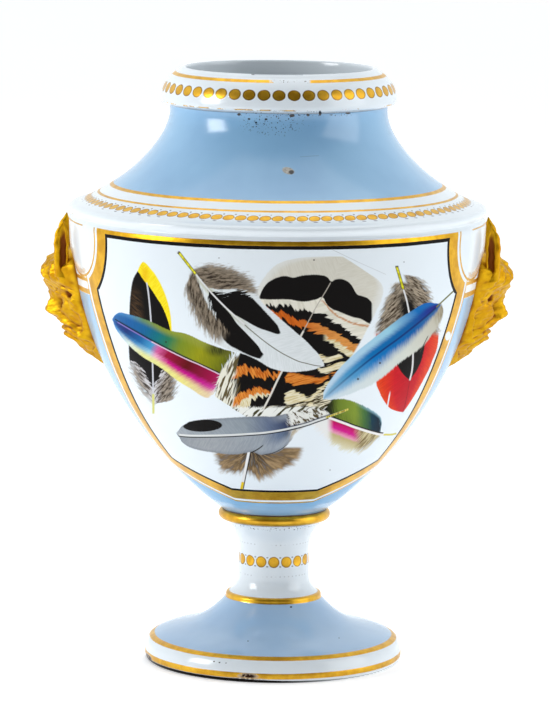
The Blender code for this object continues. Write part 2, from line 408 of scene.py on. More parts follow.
def body_mesh(panel_mat, body_mat):
    outline = UNDER + OUTER + INNER
    s_under = []
    length = 0.0
    for (r0, z0), (r1, z1) in zip(reversed(UNDER + OUTER[:1]), list(reversed(UNDER + OUTER[:1]))[1:]):
        length += math.hypot(r1 - r0, z1 - z0)
        s_under.append(-length)
    s_under.reverse()
    s_inner = []
    length = S_END
    last = OUTER[-1]
    for p in INNER:
        length += math.hypot(p[0] - last[0], p[1] - last[1])
        s_inner.append(length)
        last = p
    s_all = s_under + OUTER_S + s_inner

    verts, s_attr, rings = [], [], []
    for (r, z), s in zip(outline, s_all):
        if r < 1e-9:
            rings.append([len(verts)])
            verts.append((0, 0, z * MM))
            s_attr.append(s)
            continue
        rings.append(list(range(len(verts), len(verts) + SEGMENTS)))
        for i in range(SEGMENTS):
            a = phi_of(i)
            verts.append((r * MM * math.sin(a), -r * MM * math.cos(a), z * MM))
            s_attr.append(s)
    faces, slots, kind, ring_no, seg_no = [], [], [], [], []
    first_outer = len(UNDER)
    last_outer = len(UNDER) + len(OUTER) - 1
    for k, (low, high) in enumerate(zip(rings, rings[1:])):
        zm = (outline[k][1] + outline[k + 1][1]) / 2
        outside = first_outer <= k < last_outer
        for i in range(SEGMENTS):
            j = (i + 1) % SEGMENTS
            if len(low) == 1:
                faces.append((low[0], high[j], high[i]))
            elif len(high) == 1:
                faces.append((low[i], low[j], high[0]))
            else:
                faces.append((low[i], low[j], high[j], high[i]))
            mid = (i + 0.5) / SEGMENTS * TAU
            mid = mid - TAU if mid > math.pi else mid
            panel = outside and abs(mid) < PANEL_PHI and PANEL_Z[0] < zm < PANEL_Z[1]
            slots.append(1 if panel else 0)
            kind.append('panel' if panel else ('under' if k < first_outer - 1 else 'inner' if k >= last_outer else 'outer'))
            ring_no.append(k)
            seg_no.append(i)
    mesh = bpy.data.meshes.new("urn_body")
    mesh.from_pydata(verts, [], faces)
    mesh.materials.append(body_mat)
    mesh.materials.append(panel_mat)
    mesh.polygons.foreach_set('material_index', slots)
    mesh.attributes.new('s', 'FLOAT', 'POINT').data.foreach_set('value', s_attr)
    mesh.validate()
    mesh.shade_smooth()

    # a layout for baked maps: the painted front gets the larger share
    uv = mesh.uv_layers.new(name="OFBake")
    s_lo, s_hi = s_of(PANEL_Z[0]), s_of(PANEL_Z[1])
    coords = np.zeros((len(mesh.loops), 2), np.float32)
    s_arr = np.array(s_attr)
    for poly in mesh.polygons:
        k, i = ring_no[poly.index], seg_no[poly.index]
        where = kind[poly.index]
        for li in poly.loop_indices:
            v = mesh.loops[li].vertex_index
            x, y, z = verts[v]
            r = math.hypot(x, y) / MM
            a = math.atan2(x, -y) if r > 1e-6 else phi_of(i + 0.5)
            mid = phi_of(i + 0.5)
            mid = mid - TAU if mid > math.pi else mid
            while a - mid > math.pi: a -= TAU
            while mid - a > math.pi: a += TAU
            s = s_arr[v]
            if where == 'panel':
                u = 0.5 + a * r / (2 * PANEL_PHI * 61.0)
                w = 0.005 + 0.60 * (s - s_lo) / (s_hi - s_lo)
            elif where == 'outer':
                u = 0.5 + 0.99 * a / TAU
                w = 0.615 + 0.265 * s / S_END
            elif where == 'inner':
                u = 0.5 + 0.99 * a / TAU
                w = 0.885 + 0.06 * (s - S_END) / (s_arr.max() - S_END)
            else:
                u = 0.5 + 0.99 * a / TAU
                w = 0.95 + 0.045 * (-s) / (-s_arr.min())
            coords[li] = (u, w)
    uv.data.foreach_set('uv', coords.ravel())
    obj = bpy.data.objects.new("urn_body", mesh)
    bpy.context.scene.collection.objects.link(obj)
    return obj


# ---- glaze, grounds and gilding ------------------------------------------
BLACK = srgb(16, 13, 12)


def ring_terms(g):
    """Shared values: position in mm, angle from the front, distance along the outline."""
    x, y, z = g.position()
    x, y, z = x * 1000.0, y * 1000.0, z * 1000.0
    phi = g.math('ARCTAN2', x, -y)
    return x, y, z, phi, g.attribute('s')


def panel_distance(g, phi, s, z):
    """Signed distance in mm to the edge of the painted panel, positive inside.

    The same frame stands on the front and on the back, so the angle is taken
    from the nearer of the two."""
    a = g.abs(phi)
    a = g.min(a, math.pi - a)
    top = s_of(125.0) - s
    bottom = s - s_of(53.0)
    radius = g.curve(z, [(50, r_of(50)), (60, r_of(60)), (72, r_of(72)), (86, r_of(86)), (102, r_of(102)),
                         (130, 59.2)], 50.0, 130.0)
    side_phi = g.curve(z, [(50, 1.09), (60, 1.085), (72, 1.075), (86, 1.045), (97, 1.035), (109.5, 1.045),
                           (130, 1.06)], 50.0, 130.0)
    side = (side_phi - a) * radius
    arc = a * 58.0
    sc = s_of(123.8)
    scoop = g.sqrt((arc - 71.2) ** 2.0 + (s - sc) ** 2.0) - 18.0
    angle = g.math('ARCTAN2', arc - 71.2, s - sc)
    ring = scoop
    scoop = scoop + g.step(s, s_of(109.8), s_of(108.8), 0.0, 40.0)
    # the slanting cut at the lower corners
    x0, s0, x1, s1 = 29.0, s_of(59.3), 14.0, s_of(53.0)
    nx, ny = (s0 - s1), -(x0 - x1)
    length = math.hypot(nx, ny)
    cut = ((a * 29.0 - x1) * (-nx / length)) + ((s - s1) * (-ny / length))
    d = g.min(g.min(top, bottom), g.min(side, cut))
    return g.min(d, scoop), side, ring, angle


def spot(g, u, v, cu, cv, ru, rv=None, turn=0.0, soft=0.4):
    """1 inside a small ellipse of the front view."""
    rv = rv or ru
    c, s = math.cos(turn), math.sin(turn)
    p = g.mad(u, c / ru, g.mad(v, s / ru, -(cu * c + cv * s) / ru))
    q = g.mad(u, -s / rv, g.mad(v, c / rv, (cu * s - cv * c) / rv))
    return g.step(g.mad(p, p, q * q), 1.0 - soft, 1.0 + soft, 1.0, 0.0)


def stroke(g, u, v, p0, p1, half, soft=0.3):
    """1 along a short straight line of the front view."""
    dx, dy = p1[0] - p0[0], p1[1] - p0[1]
    length = math.hypot(dx, dy)
    dx, dy = dx / length, dy / length
    along = g.mad(u, dx, g.mad(v, dy, -(p0[0] * dx + p0[1] * dy)))
    off = g.mad(u, -dy, g.mad(v, dx, p0[0] * dy - p0[1] * dx))
    return g.step(g.abs(off), half - soft, half + soft, 1.0, 0.0) * g.band(along, 0.0, length, 0.5)


# ---- the painted feathers ------------------------------------------------
# The picture is laid out on a flat plane in front of the urn, in the units of
# the front view, and carried straight on to the curved wall.
VIEW_PITCH, VIEW_ROLL, VIEW_F = 0.1424, 0.0112, 4462.1
VIEW_AT = (-0.3, -1260.8, 268.18)


def picture_plane(g, x, y, z):
    c, s = math.cos(VIEW_PITCH), math.sin(VIEW_PITCH)
    X, Y, Z = x - VIEW_AT[0], y - VIEW_AT[1], z - VIEW_AT[2]
    depth = g.mad(Y, c, Z * (-s))
    up = g.mad(Z, c, Y * s)
    k = g.math('DIVIDE', VIEW_F, depth)
    px, py = X * k, up * k * -1.0
    cr, sr = math.cos(VIEW_ROLL), math.sin(VIEW_ROLL)
    u = g.mad(px, cr, g.mad(py, -sr, 275.0))
    v = g.mad(px, sr, g.mad(py, cr, 356.0))
    return u, v


class Feather:
    """A feather's own coordinates: a along the quill from its base, b across it."""

    def __init__(self, g, u, v, quill, left, right, slant=0.8, seed=1.0, freq=0.7, run=0.07):
        self.g, self.u, self.v = g, u, v
        q = np.array(quill, float)
        self.base = q[0]
        d = q[-1] - q[0]
        self.L = float(np.hypot(*d))
        self.d = d / self.L
        self.n = np.array((-self.d[1], self.d[0]))
        offs = [self.flat(p) for p in q]
        self.oa, self.ob = [o[0] for o in offs], [o[1] for o in offs]
        du, dv = u - float(q[0][0]), v - float(q[0][1])
        k = 1.0 / self.L
        self.a = g.mad(du, float(self.d[0]) * k, dv * (float(self.d[1]) * k))
        b0 = g.mad(du, float(self.n[0]), dv * float(self.n[1]))
        if max(map(abs, self.ob)) > 0.3:
            b0 = b0 - g.signed_curve(self.a, list(zip(self.oa, self.ob)))
        self.b = b0
        self.ab = g.abs(b0)
        self.right = g.gt(b0, 0.0)
        lw = g.curve(self.a, self.side(left), 0.0, 1.0)
        rw = g.curve(self.a, self.side(right), 0.0, 1.0)
        self.w = g.mixf(self.right, lw, rw)
        self.t = g.mad(self.ab, -slant, self.a * self.L)
        self.N = g.grain(g.mad(self.t, freq, self.right * 7.3) + seed * 13.7, run * 5000.0)
        self.seed = seed

    def fur(self, freq=1.5, run=420.0):
        return self.g.grain(self.g.mad(self.t, freq, self.seed * 5.1), run, 3.0, 0.6)

    def fuzz(self, n, reach=22.0, soft=4.0, centre=0.56):
        """The soft edge of down, drawn hair by hair by the streaks n."""
        g = self.g
        m = g.step(g.mad(n, reach, self.w - self.ab - reach * centre), -soft, soft)
        return m * g.band(self.a, 0.0, 1.0, 0.01)

    def flat(self, p):
        r = np.array(p, float) - self.base
        return float(r @ self.d) / self.L, float(r @ self.n)

    def loc(self, p):
        a, b0 = self.flat(p)
        return a, abs(b0 - float(np.interp(a, self.oa, self.ob)))

    def side(self, points):
        pts = sorted(self.loc(p) for p in points)
        pts = [(min(max(a, 0.0), 1.0), b) for a, b in pts]
        out = []
        for a, b in pts:
            if not out or a - out[-1][0] > 0.012:
                out.append((a, b))
        if out[0][0] > 0.02:
            out.insert(0, (max(out[0][0] - 0.03, 0.0), 0.0))
        else:
            out[0] = (0.012, out[0][1])
        if out[0][0] > 0.0:
            out.insert(0, (0.0, 0.0))
        if out[-1][0] > 0.985:
            out[-1] = (0.985, out[-1][1])
        out.append((1.0, 0.0))
        return out

    def width(self, points):
        """A curve of distances from the quill, on one side, through the points."""
        pts = sorted(self.loc(p) for p in points)
        return self.g.curve(self.a, pts if pts[0][0] <= 0 else [(0.0, pts[0][1])] + pts + [(1.0, pts[-1][1])],
                            0.0, 1.0)

    def vane(self, ragged=2.0, soft=0.6):
        g = self.g
        m = g.step(g.mad(self.N, ragged, self.w - self.ab - ragged / 2), -soft, soft)
        return m * g.band(self.a, 0.0, 1.0, 0.01)

    def rel(self):
        return self.g.math('DIVIDE', self.ab, self.g.max(self.w, 1.0))

    def streak(self, lo, hi, a=0.32, b=0.68):
        return self.g.step(self.N, a, b, lo, hi)

    def quill(self, col, colour, half, a0, a1, soft=0.35, shift=0.0):
        g = self.g
        ab = g.abs(self.b - shift) if shift else self.ab
        m = g.step(ab, half - soft, half + soft, 1.0, 0.0) * g.band(self.a, a0, a1, 0.006)
        return g.mix(m, col, colour)


def paint_feathers(g, col, u, v):
    K = srgb(12, 9, 8)

    # black feather with a yellow edge
    f = Feather(g, u, v, [(153.4, 413), (152.2, 352), (151, 322), (148.7, 296), (145.4, 277), (143, 261.5)],
                [(140.4, 264.5), (138, 270), (132.7, 280.6), (130.4, 293), (129.2, 312.7), (128.7, 348), (129.8, 363),
                 (134.4, 380), (143.6, 395.4), (149, 402)],
                [(146.6, 264), (150, 268), (156.2, 276), (162, 287.5), (167.7, 302.4), (170.6, 316), (171.6, 330),
                 (173, 352), (175.4, 372), (176.9, 387), (174.6, 398), (165.4, 403.5), (156, 404.6)],
                slant=0.9, seed=1.3, freq=0.8)
    down = g.step(f.a, 0.36, 0.30)
    fur = f.fur(0.5)
    m = g.mixf(down, f.vane(1.0, 0.6), f.fuzz(fur))
    c = g.mix(f.streak(0.0, 0.9) * g.band(f.b, -19.0, -9.0, 5.0) * g.band(v, 292.0, 326.0, 10.0), K,
              srgb(84, 60, 36))
    edge = g.curve(u, [(136, 269.0), (140, 274.5), (144.5, 281), (149, 286), (156, 296.5), (163.4, 309), (168, 321),
                       (171, 333)], 136.0, 171.0)
    yellow = g.mix(f.streak(0.0, 1.0), srgb(236, 208, 10), srgb(247, 227, 46))
    yellow = g.mix(g.band(u, 142.0, 148.0, 3.0) * g.band(v, 268, 282, 4.0) * 0.5, yellow, srgb(225, 160, 15))
    c = g.mix(g.step(g.mad(f.N, 2.0, edge - v - 1.0), -0.7, 0.7), c, yellow)
    core = g.curve(f.a, [(0.17, 0.0), (0.22, 5.0), (0.28, 9.0), (0.33, 15.0), (0.37, 26.0), (0.42, 30.0)], 0.17, 0.42)
    brown = g.mix(g.step(fur, 0.34, 0.66), srgb(52, 42, 34), srgb(158, 146, 132))
    brown = g.mix(g.step(f.ab - core, 1.0, 10.0, 0.9, 0.0) * g.step(fur, 0.38, 0.60), brown, srgb(206, 206, 210))
    c = g.mix(g.step(g.mad(fur, 12.0, f.ab - core - 6.0), -0.8, 0.8) * g.step(f.a, 0.45, 0.40), c, brown)
    col = g.mix(m, col, c)
    col = f.quill(col, srgb(196, 197, 203), 0.75, 0.10, 0.86)
    col = f.quill(col, srgb(205, 205, 120), 1.15, -0.005, 0.125)

    # brown down below, with its quill
    du, dv = u - 252.0, v - 449.0
    ang = g.math('ARCTAN2', du, dv)
    rad = g.sqrt(g.mad(du, du, dv * dv))
    fan = g.grain(ang * 9.0, 220.0, rough=0.6)
    reach = g.signed_curve(ang, [(-1.6, 32.0), (-1.2, 37.0), (-0.7, 31.0), (-0.2, 24.0), (0.25, 30.0), (0.75, 32.0),
                                 (1.2, 42.0), (1.6, 50.0)])
    m = g.step(g.mad(fan, 16.0, reach - rad - 8.0), -5.0, 4.0) * g.step(v, 446.0, 449.0)
    c = g.mix(g.step(fan, 0.34, 0.70), srgb(84, 64, 42), srgb(162, 136, 100))
    c = g.mix(g.step(rad, 27.0, 5.0) * g.step(fan, 0.68, 0.40), c, srgb(26, 18, 12))
    col = g.mix(m * g.step(fan, 0.25, 0.5, 0.75, 1.0), col, c)
    f2 = Feather(g, u, v, [(241.3, 489.5), (243.5, 478), (246.5, 464), (249.6, 448)], [(240, 470)], [(250, 470)])
    col = f2.quill(col, srgb(30, 22, 16), 0.8, 0.02, 1.0, shift=1.5)
    col = f2.quill(col, srgb(226, 226, 226), 1.3, 0.0, 1.0)
    col = f2.quill(col, srgb(216, 186, 30), 1.3, 0.0, 0.18)

    # green, blue and magenta feather
    f = Feather(g, u, v, [(395.6, 433.6), (386, 434.6), (375.7, 433.6), (357, 428), (345, 423.5), (331, 418.5),
                          (312, 412)],
                [(312, 424), (322, 436), (333, 445), (345, 451), (357, 452), (368, 447), (376, 440), (381, 437)],
                [(318, 404), (326, 401.5), (337, 398.8), (351, 400.6), (367, 407.5), (377, 413.5), (382, 422), (379.6, 431)],
                slant=0.55, seed=9.4, freq=0.8)
    m = g.mixf(f.right, f.fuzz(f.N, 18.0, 3.5), f.vane(2.6, 0.8))
    m = m * g.step(f.a, 0.15, 0.19)
    green = g.ramp(g.mad(f.N, 0.10, g.step(u, 326.0, 384.0, kind='LINEAR') - 0.05),
                   [(0.0, srgb(20, 20, 12)), (0.10, srgb(46, 52, 20)), (0.22, srgb(104, 124, 42)),
                    (0.50, srgb(126, 146, 52)), (0.66, srgb(70, 110, 58)), (0.80, srgb(14, 52, 70)),
                    (0.92, srgb(10, 30, 46)), (1.0, srgb(120, 170, 190))])
    green = g.mix(f.streak(0.25, 0.0) * g.step(f.ab, 14.0, 3.0), green, K)
    green = g.mix(g.step(f.rel(), 0.82, 1.0) * g.step(u, 352, 372) * 0.8, green, srgb(140, 182, 196))
    mag = g.ramp(g.mad(f.N, 0.12, g.step(f.ab, 0.0, 24.0, kind='LINEAR') - 0.06),
                 [(0.0, srgb(170, 20, 70)), (0.18, srgb(196, 20, 110)), (0.34, srgb(206, 30, 140)),
                  (0.50, srgb(222, 150, 175)), (0.60, srgb(186, 170, 120)), (1.0, srgb(214, 208, 176))])
    cream = g.mix(f.streak(0.0, 1.0), srgb(120, 100, 60), srgb(204, 192, 150))
    mag = g.mix(g.step(u, 362.0, 352.0), cream, mag)
    mag = g.mix(g.step(u, 334.0, 326.0), mag, srgb(228, 228, 226))
    col = g.mix(m, col, g.mix(f.right, mag, green))
    col = f.quill(col, srgb(24, 20, 18), 0.9, 0.14, 1.0, shift=1.6)
    col = f.quill(col, srgb(230, 228, 226), 1.2, 0.0, 0.98)
    col = f.quill(col, srgb(206, 196, 90), 1.0, -0.01, 0.13)

    # blue to magenta feather
    f = Feather(g, u, v, [(224, 376), (219.4, 374.2), (199.8, 365), (179.2, 355.8), (159.7, 346), (139, 334.6),
                          (117.2, 322), (112.2, 318.8)],
                [(113.4, 322.6), (114.8, 326.6), (118.3, 332.3), (128.7, 344.9), (142.4, 356.4), (159.7, 367), (176.9, 380),
                 (194.1, 391), (204, 397), (213, 401), (219, 399), (224, 384)],
                [(112.6, 317.2), (113.8, 315.0), (116.4, 313.2), (120.5, 312.5), (129.8, 314.5), (151.6, 321.9), (168.9, 330),
                 (188.4, 334.6), (205.6, 342.6), (222.8, 348.9), (234, 352.5)],
                slant=0.75, seed=2.2, freq=0.9)
    m = f.vane(1.4, 0.55)
    x = g.mad(f.N, 0.05, f.a - 0.025)
    up = g.ramp(x, [(0.0, srgb(70, 78, 22)), (0.10, srgb(120, 124, 20)), (0.26, srgb(150, 150, 22)),
                    (0.42, srgb(118, 138, 36)), (0.52, srgb(40, 118, 80)), (0.62, srgb(14, 108, 120)),
                    (0.74, srgb(18, 94, 146)), (0.88, srgb(26, 92, 156)), (1.0, srgb(44, 104, 166))])
    rim = g.ramp(x, [(0.0, srgb(92, 92, 30)), (0.30, srgb(150, 156, 60)), (0.62, srgb(132, 146, 50)),
                     (0.78, srgb(96, 134, 96)), (0.88, srgb(70, 130, 180)), (1.0, srgb(60, 130, 190))])
    up = g.mix(g.step(f.rel(), 0.55, 0.95), up, rim)
    dark = g.step(g.sqrt((u - 217.0) ** 2.0 * 0.35 + (v - 349.5) ** 2.0), 9.5, 2.0) * f.streak(0.4, 1.0)
    up = g.mix(dark, up, srgb(34, 38, 14))
    up = g.mix(g.band(f.ab, 0.8, 2.4, 0.6) * g.band(f.a, 0.28, 0.92, 0.05) * 0.55, up, srgb(14, 40, 60))
    low_near = g.ramp(x, [(0.0, srgb(176, 40, 110)), (0.08, srgb(158, 14, 70)), (0.30, srgb(98, 10, 16)),
                          (0.48, srgb(150, 14, 56)), (0.565, srgb(206, 90, 150)), (0.62, srgb(70, 150, 196)),
                          (0.72, srgb(20, 96, 156)), (0.86, srgb(22, 44, 112)), (0.95, srgb(26, 62, 130)),
                          (1.0, srgb(60, 120, 190))])
    low_mid = g.ramp(x, [(0.0, srgb(206, 70, 160)), (0.15, srgb(196, 20, 140)), (0.45, srgb(198, 20, 130)),
                         (0.56, srgb(230, 160, 190)), (0.62, srgb(150, 196, 216)), (0.74, srgb(60, 132, 184)),
                         (0.90, srgb(26, 70, 134)), (1.0, srgb(50, 106, 170))])
    low_edge = g.ramp(x, [(0.0, srgb(226, 200, 170)), (0.3, srgb(232, 222, 130)), (0.66, srgb(222, 222, 150)),
                          (0.80, srgb(206, 222, 214)), (0.92, srgb(90, 150, 200)), (1.0, srgb(60, 120, 190))])
    r = g.mad(f.N, 0.14, f.rel() - 0.07)
    lo = g.mix(g.step(r, 0.34, 0.58), low_near, low_mid)
    lo = g.mix(g.step(r, 0.55, 0.88), lo, low_edge)
    c = g.mix(f.right, lo, up)
    c = g.mix(f.streak(0.12, 0.0), c, K)
    m = m * g.step(g.mad(f.N, 0.22, f.a), 0.10, 0.15)
    col = g.mix(m, col, c)
    col = f.quill(col, srgb(20, 20, 30), 0.5, 0.04, 0.98, shift=1.3)
    col = f.quill(col, srgb(214, 184, 208), 0.55, 0.0, 0.64)
    col = f.quill(col, srgb(134, 112, 186), 0.45, 0.64, 0.95)

    # the large banded feather
    f = Feather(g, u, v, [(255, 422), (263.7, 408.4), (282.4, 370.5), (301, 335.7), (312, 314.6), (332, 280),
                          (343, 256.5)],
                [(332, 256.0), (318, 256.4), (307, 257.0), (293, 259.0), (282, 262), (272, 268), (264, 278),
                 (257, 290), (253, 305), (247, 330), (236, 348), (225, 362), (216, 376), (211, 392), (212, 404), (220, 415),
                 (236, 420)],
                [(351, 260.0), (362, 265.5), (369.5, 271), (378, 280), (382.5, 290), (381, 300), (376, 311),
                 (369.5, 325), (359.5, 344), (346, 366), (335, 384), (330, 402), (318, 412), (290, 420), (268, 422)],
                slant=0.9, seed=4.6, freq=0.75)
    fluffy = g.grain(g.mad(v, 0.15, u * 0.40), 150.0, 2.0, 0.55)
    left_zone = g.step(u, 246.0, 238.0) * g.step(v, 346.0, 352.0)
    m = g.mixf(left_zone, f.vane(2.4, 1.0), f.fuzz(fluffy, 24.0, 1.6, 0.60))
    zig = g.mad(f.N, 1.0, -0.5)
    zag = g.grain(g.mad(f.t, 0.23, 91.0), 130.0, 1.0, 0.5) - 0.5

    def across(points, jag, soft=0.8):
        """1 below a line across the feather."""
        line = g.curve(u, points, points[0][0], points[-1][0], top=600.0)
        if jag > 5.0:
            line = g.mad(zag, jag * 2.4, line)
        return g.step(v - g.mad(zig, jag, line), soft, -soft)

    # the lower part, from the root upwards: rows of black, rust and cream
    sand = g.mix(f.streak(0.0, 1.0, 0.42, 0.56), srgb(206, 190, 140), srgb(226, 218, 190))
    burnt = g.mix(f.streak(0.0, 1.0), srgb(180, 84, 16), srgb(222, 142, 58))
    c = K
    c = g.mix(across([(240, 420), (246, 413), (249, 405), (253, 399.4), (264, 396), (272, 396), (281, 397)], 6.0),
              K, sand)
    c = g.mix(across([(232, 410), (238.6, 405), (247, 397), (257, 393.6), (266, 393.4), (272, 393.6), (281, 393)],
                     5.1), c, burnt)
    c = g.mix(across([(232, 402), (236, 396), (241, 392.5), (246, 391), (253, 388), (262, 387.5), (272, 390),
                      (281, 390)], 6.0), c, K)
    c = g.mix(across([(232, 380), (243, 376), (248, 372.5), (253, 376), (262, 377.5), (272, 378), (281, 377)], 6.0),
              c, burnt)
    low_left = g.mix(across([(232, 371), (243, 365), (252, 367), (262, 370), (272, 372.5), (281, 374)], 6.0), c, K)
    c = g.mix(g.step(f.N, 0.44, 0.56), srgb(58, 48, 28), sand)
    c = g.mix(across([(283, 405), (292, 406), (301, 406), (308, 404), (313, 401), (318, 392), (330, 380)], 8.0), c, K)
    c = g.mix(across([(283, 399), (288, 403), (296, 404), (304, 403), (311, 405), (315, 399), (325, 388), (335, 378)],
                     8.0), c, sand)
    c = g.mix(across([(283, 401), (288, 394), (292, 392), (301, 395), (310, 398.5), (314, 394), (322, 386),
                      (330, 381)], 7.0), c, K)
    c = g.mix(across([(283, 376), (288, 381.5), (298, 384.5), (305, 383.5), (313, 382.5), (322, 382), (330, 375)],
                     5.5), c, burnt)
    c = g.mix(across([(283, 380), (288, 373.5), (292, 373), (301, 374.5), (310, 376.5), (324, 377), (332, 372)],
                     5.0), c, K)
    c = g.mix(across([(300, 364), (316, 369), (324, 373), (333, 370), (342, 366)], 6.0) * g.step(u, 316.0, 319.0),
              c, sand)
    c = g.mix(across([(300, 364), (316, 366), (324, 368), (333, 365), (342, 362)], 6.0), c, K)
    c = g.mix(across([(300, 355), (320, 361), (327, 363), (335, 360), (345, 357)], 7.0) * g.step(u, 316.0, 319.0),
              c, sand)
    low_right = g.mix(across([(300, 351), (320, 355), (327, 356), (335, 354), (345, 352)], 7.0), c, K)
    c = g.mix(f.right, low_left, low_right)
    # white curls at the root and loose ones at the left edge
    bend = g.grain(g.mad(u, 0.20, g.mad(v, 0.22, f.N * 0.30)), 160.0, 1.0, 0.5)
    curls = g.mix(g.step(bend, 0.43, 0.50), srgb(70, 66, 42), srgb(229, 230, 224))
    c = g.mix(g.step(g.mad(zig, 5.0, v), 405.5, 408.5), c, curls)
    loose = g.mix(g.step(fluffy, 0.42, 0.50), srgb(92, 80, 50), srgb(226, 224, 208))
    c = g.mix(g.step(g.mad(fluffy, 26.0, u), 251.0, 246.0) * g.step(v, 344.0, 350.0), c, loose)
    cream = g.mix(f.streak(0.0, 1.0), srgb(205, 201, 187), srgb(213, 210, 198))
    cream = g.mix(g.step(f.rel(), 0.8, 1.0) * 0.6, cream, srgb(226, 230, 230))

    f6 = across([(255, 332), (283, 330), (300, 334), (320, 343), (335, 351), (350, 362), (362, 370)], 6.0)
    c = g.mix(f6, c, K)
    f5b = across([(318, 338), (326, 341), (335, 346), (345, 354), (354, 360), (362, 366)], 6.0)
    c = g.mix(f5b * g.step(u, 322.0, 328.0), c, sand)
    f5 = across([(255, 318), (283, 319), (290, 324.5), (303, 328), (312, 331), (325, 336.5), (340, 343.5), (357, 353),
                 (365, 356)], 5.2)
    rust = g.mix(g.step(u, 290.0, 340.0), srgb(204, 98, 24), srgb(220, 150, 74))
    rust = g.mix(f.streak(0.35, 0.0), rust, srgb(132, 56, 18))
    c = g.mix(f5, c, rust)
    f4 = across([(255, 306), (276, 311), (285, 313.5), (296, 319), (306, 321), (316, 323), (330, 329), (340, 335),
                 (350, 341.5), (365, 350)], 5.2)
    c = g.mix(f4, c, K)
    f3 = across([(255, 306), (272, 305.6), (280, 305.5), (290, 306.5), (300, 310.5), (307, 310.5), (318, 313),
                 (330, 319), (340, 324), (350, 332), (365, 343)], 6.5)
    wavy = g.mix(g.step(zag, -0.05, 0.08), srgb(214, 210, 194), srgb(226, 222, 208))
    wavy = g.mix(g.band(v - g.curve(u, [(300, 305.0), (322, 301.0), (330, 310.0), (345, 320.0), (366, 326.0)], 300.0,
                                    366.0, top=600.0) + zig * 5.0, -1.2, 1.0, 0.8) * g.step(u, 318.0, 326.0) * 0.8,
                 wavy, srgb(188, 124, 62))
    c = g.mix(f3, c, wavy)
    f2m = across([(254, 298.5), (270, 299.5), (289, 299.6), (300, 301.4), (307, 301.4), (316, 299.5), (323.5, 298.2),
                  (326, 303), (330, 307.5), (340, 312), (351, 316.5), (362, 319.5), (368, 323), (374, 325)], 0.8, 0.6)
    ends = g.band(u, 259.5, 372.0, 1.0)
    c = g.mix(f2m, c, g.mix(ends, cream, K))
    f1m = across([(254, 300), (259, 297), (262, 290.5), (266, 284.5), (272, 280), (279, 277), (286, 276), (293, 277.6),
                  (300, 276), (307, 275), (320, 275), (327, 277), (331.5, 281.4), (335, 279.6), (345, 280), (351, 284.5),
                  (357, 294), (362, 296), (369, 299.4), (373, 306), (375, 320)], 0.8, 0.6)
    c = g.mix(f1m, c, cream)
    edge_z = g.step(g.mad(zig, 4.0, g.mad(v, 0.62, u)), 571.0, 574.0)
    c = g.mix(edge_z * g.step(v, 372.0, 366.0), c, srgb(220, 220, 212))
    col = g.mix(m, col, c)
    col = f.quill(col, srgb(180, 172, 160), 0.45, 0.50, 0.845)
    col = f.quill(col, srgb(214, 210, 200), 0.95, 0.08, 0.55)

    # white feather with black patches and brown down
    f = Feather(g, u, v, [(179.4, 253.2), (194.1, 272), (206.7, 287.5), (222.8, 304.7), (237.7, 318.5), (257, 335.4),
                          (270, 345.4), (290.2, 357.5), (307.6, 363.7), (324.2, 366.3)],
                [(194.6, 266), (200, 262.5), (215, 263.5), (228, 265.5), (240, 269.5), (250, 276), (256.5, 286),
                 (262, 302), (272.8, 312), (286.2, 324), (303.6, 338.7), (315.6, 350.8), (321.5, 358), (323.6, 362)],
                [(190, 272), (186.5, 279), (184.5, 292), (188, 305), (193, 317), (201, 329), (211, 339), (222, 346.5),
                 (237.7, 352), (258, 360.5), (270, 367), (290, 371.3), (305, 370.8), (315, 368.8), (322, 367.2)],
                slant=0.85, seed=5.2, freq=0.85)
    downy = g.step(f.a, 0.50, 0.44)
    fur = f.fur(0.5)
    m = g.mixf(downy, f.vane(1.2, 0.55), f.fuzz(fur))
    white = g.mix(f.streak(0.0, 1.0), srgb(210, 216, 217), srgb(221, 226, 228))
    white = g.mix(g.step(f.ab, 5.0, 1.0) * g.step(f.a, 0.62, 0.42) * 0.6, white, srgb(176, 176, 140))
    c = white
    inner_u = f.width([(232, 312.7), (238, 316.5), (245.8, 320.8), (258, 327.5), (268, 331), (276, 333.8), (284, 336)])
    outer_u = f.width([(208.5, 288.6), (218.2, 292), (228.5, 294), (245.8, 292), (258, 303.6), (263.4, 309.3),
                       (276.8, 324), (284, 335.5)])
    inner_l = f.width([(226, 309), (237.7, 324.2), (245.8, 332.3), (258, 345.5), (267.5, 357)])
    outer_l = f.width([(207.3, 288.6), (207.9, 297.8), (211.3, 308), (216, 318.5), (221, 330), (226, 342),
                       (237.7, 349.5), (250, 355.5), (262, 358.8), (267.5, 357.5)])
    inner = g.mixf(f.right, inner_u, inner_l)
    outer = g.mixf(f.right, outer_u, outer_l)
    rag = g.step(f.a, 0.42, 0.48, 24.0, 1.2) * g.step(f.a, 0.22, 0.32)
    black = (g.step(g.mad(f.N, rag, outer - f.ab - rag * 0.5), -0.7, 0.7)
             * g.step(f.ab - inner * g.step(f.a, 0.30, 0.36), -0.5, 0.5) * g.band(f.a, 0.205, 0.70, 0.006))
    brown_edge = g.mixf(f.right,
                        g.curve(f.a, [(0.10, 0.0), (0.217, 0.5), (0.25, 3.0), (0.298, 9.0), (0.346, 18.0), (0.414, 26.0), (0.5, 31.0)],
                                0.10, 0.50),
                        g.curve(f.a, [(0.10, 0.0), (0.20, 4.0), (0.26, 9.0), (0.34, 13.0), (0.42, 15.0), (0.5, 17.0)],
                                0.10, 0.50))
    tone = g.grain(g.mad(f.t, 0.5, 21.0), 520.0, 2.0, 0.6)
    brown = g.mix(g.step(g.mad(fur, 0.5, tone * 0.5), 0.38, 0.62), srgb(46, 38, 31), srgb(142, 128, 110))
    brown = g.mix(g.step(f.rel(), 0.6, 1.0) * 0.7, brown, srgb(156, 144, 128))
    c = g.mix(black, c, K)
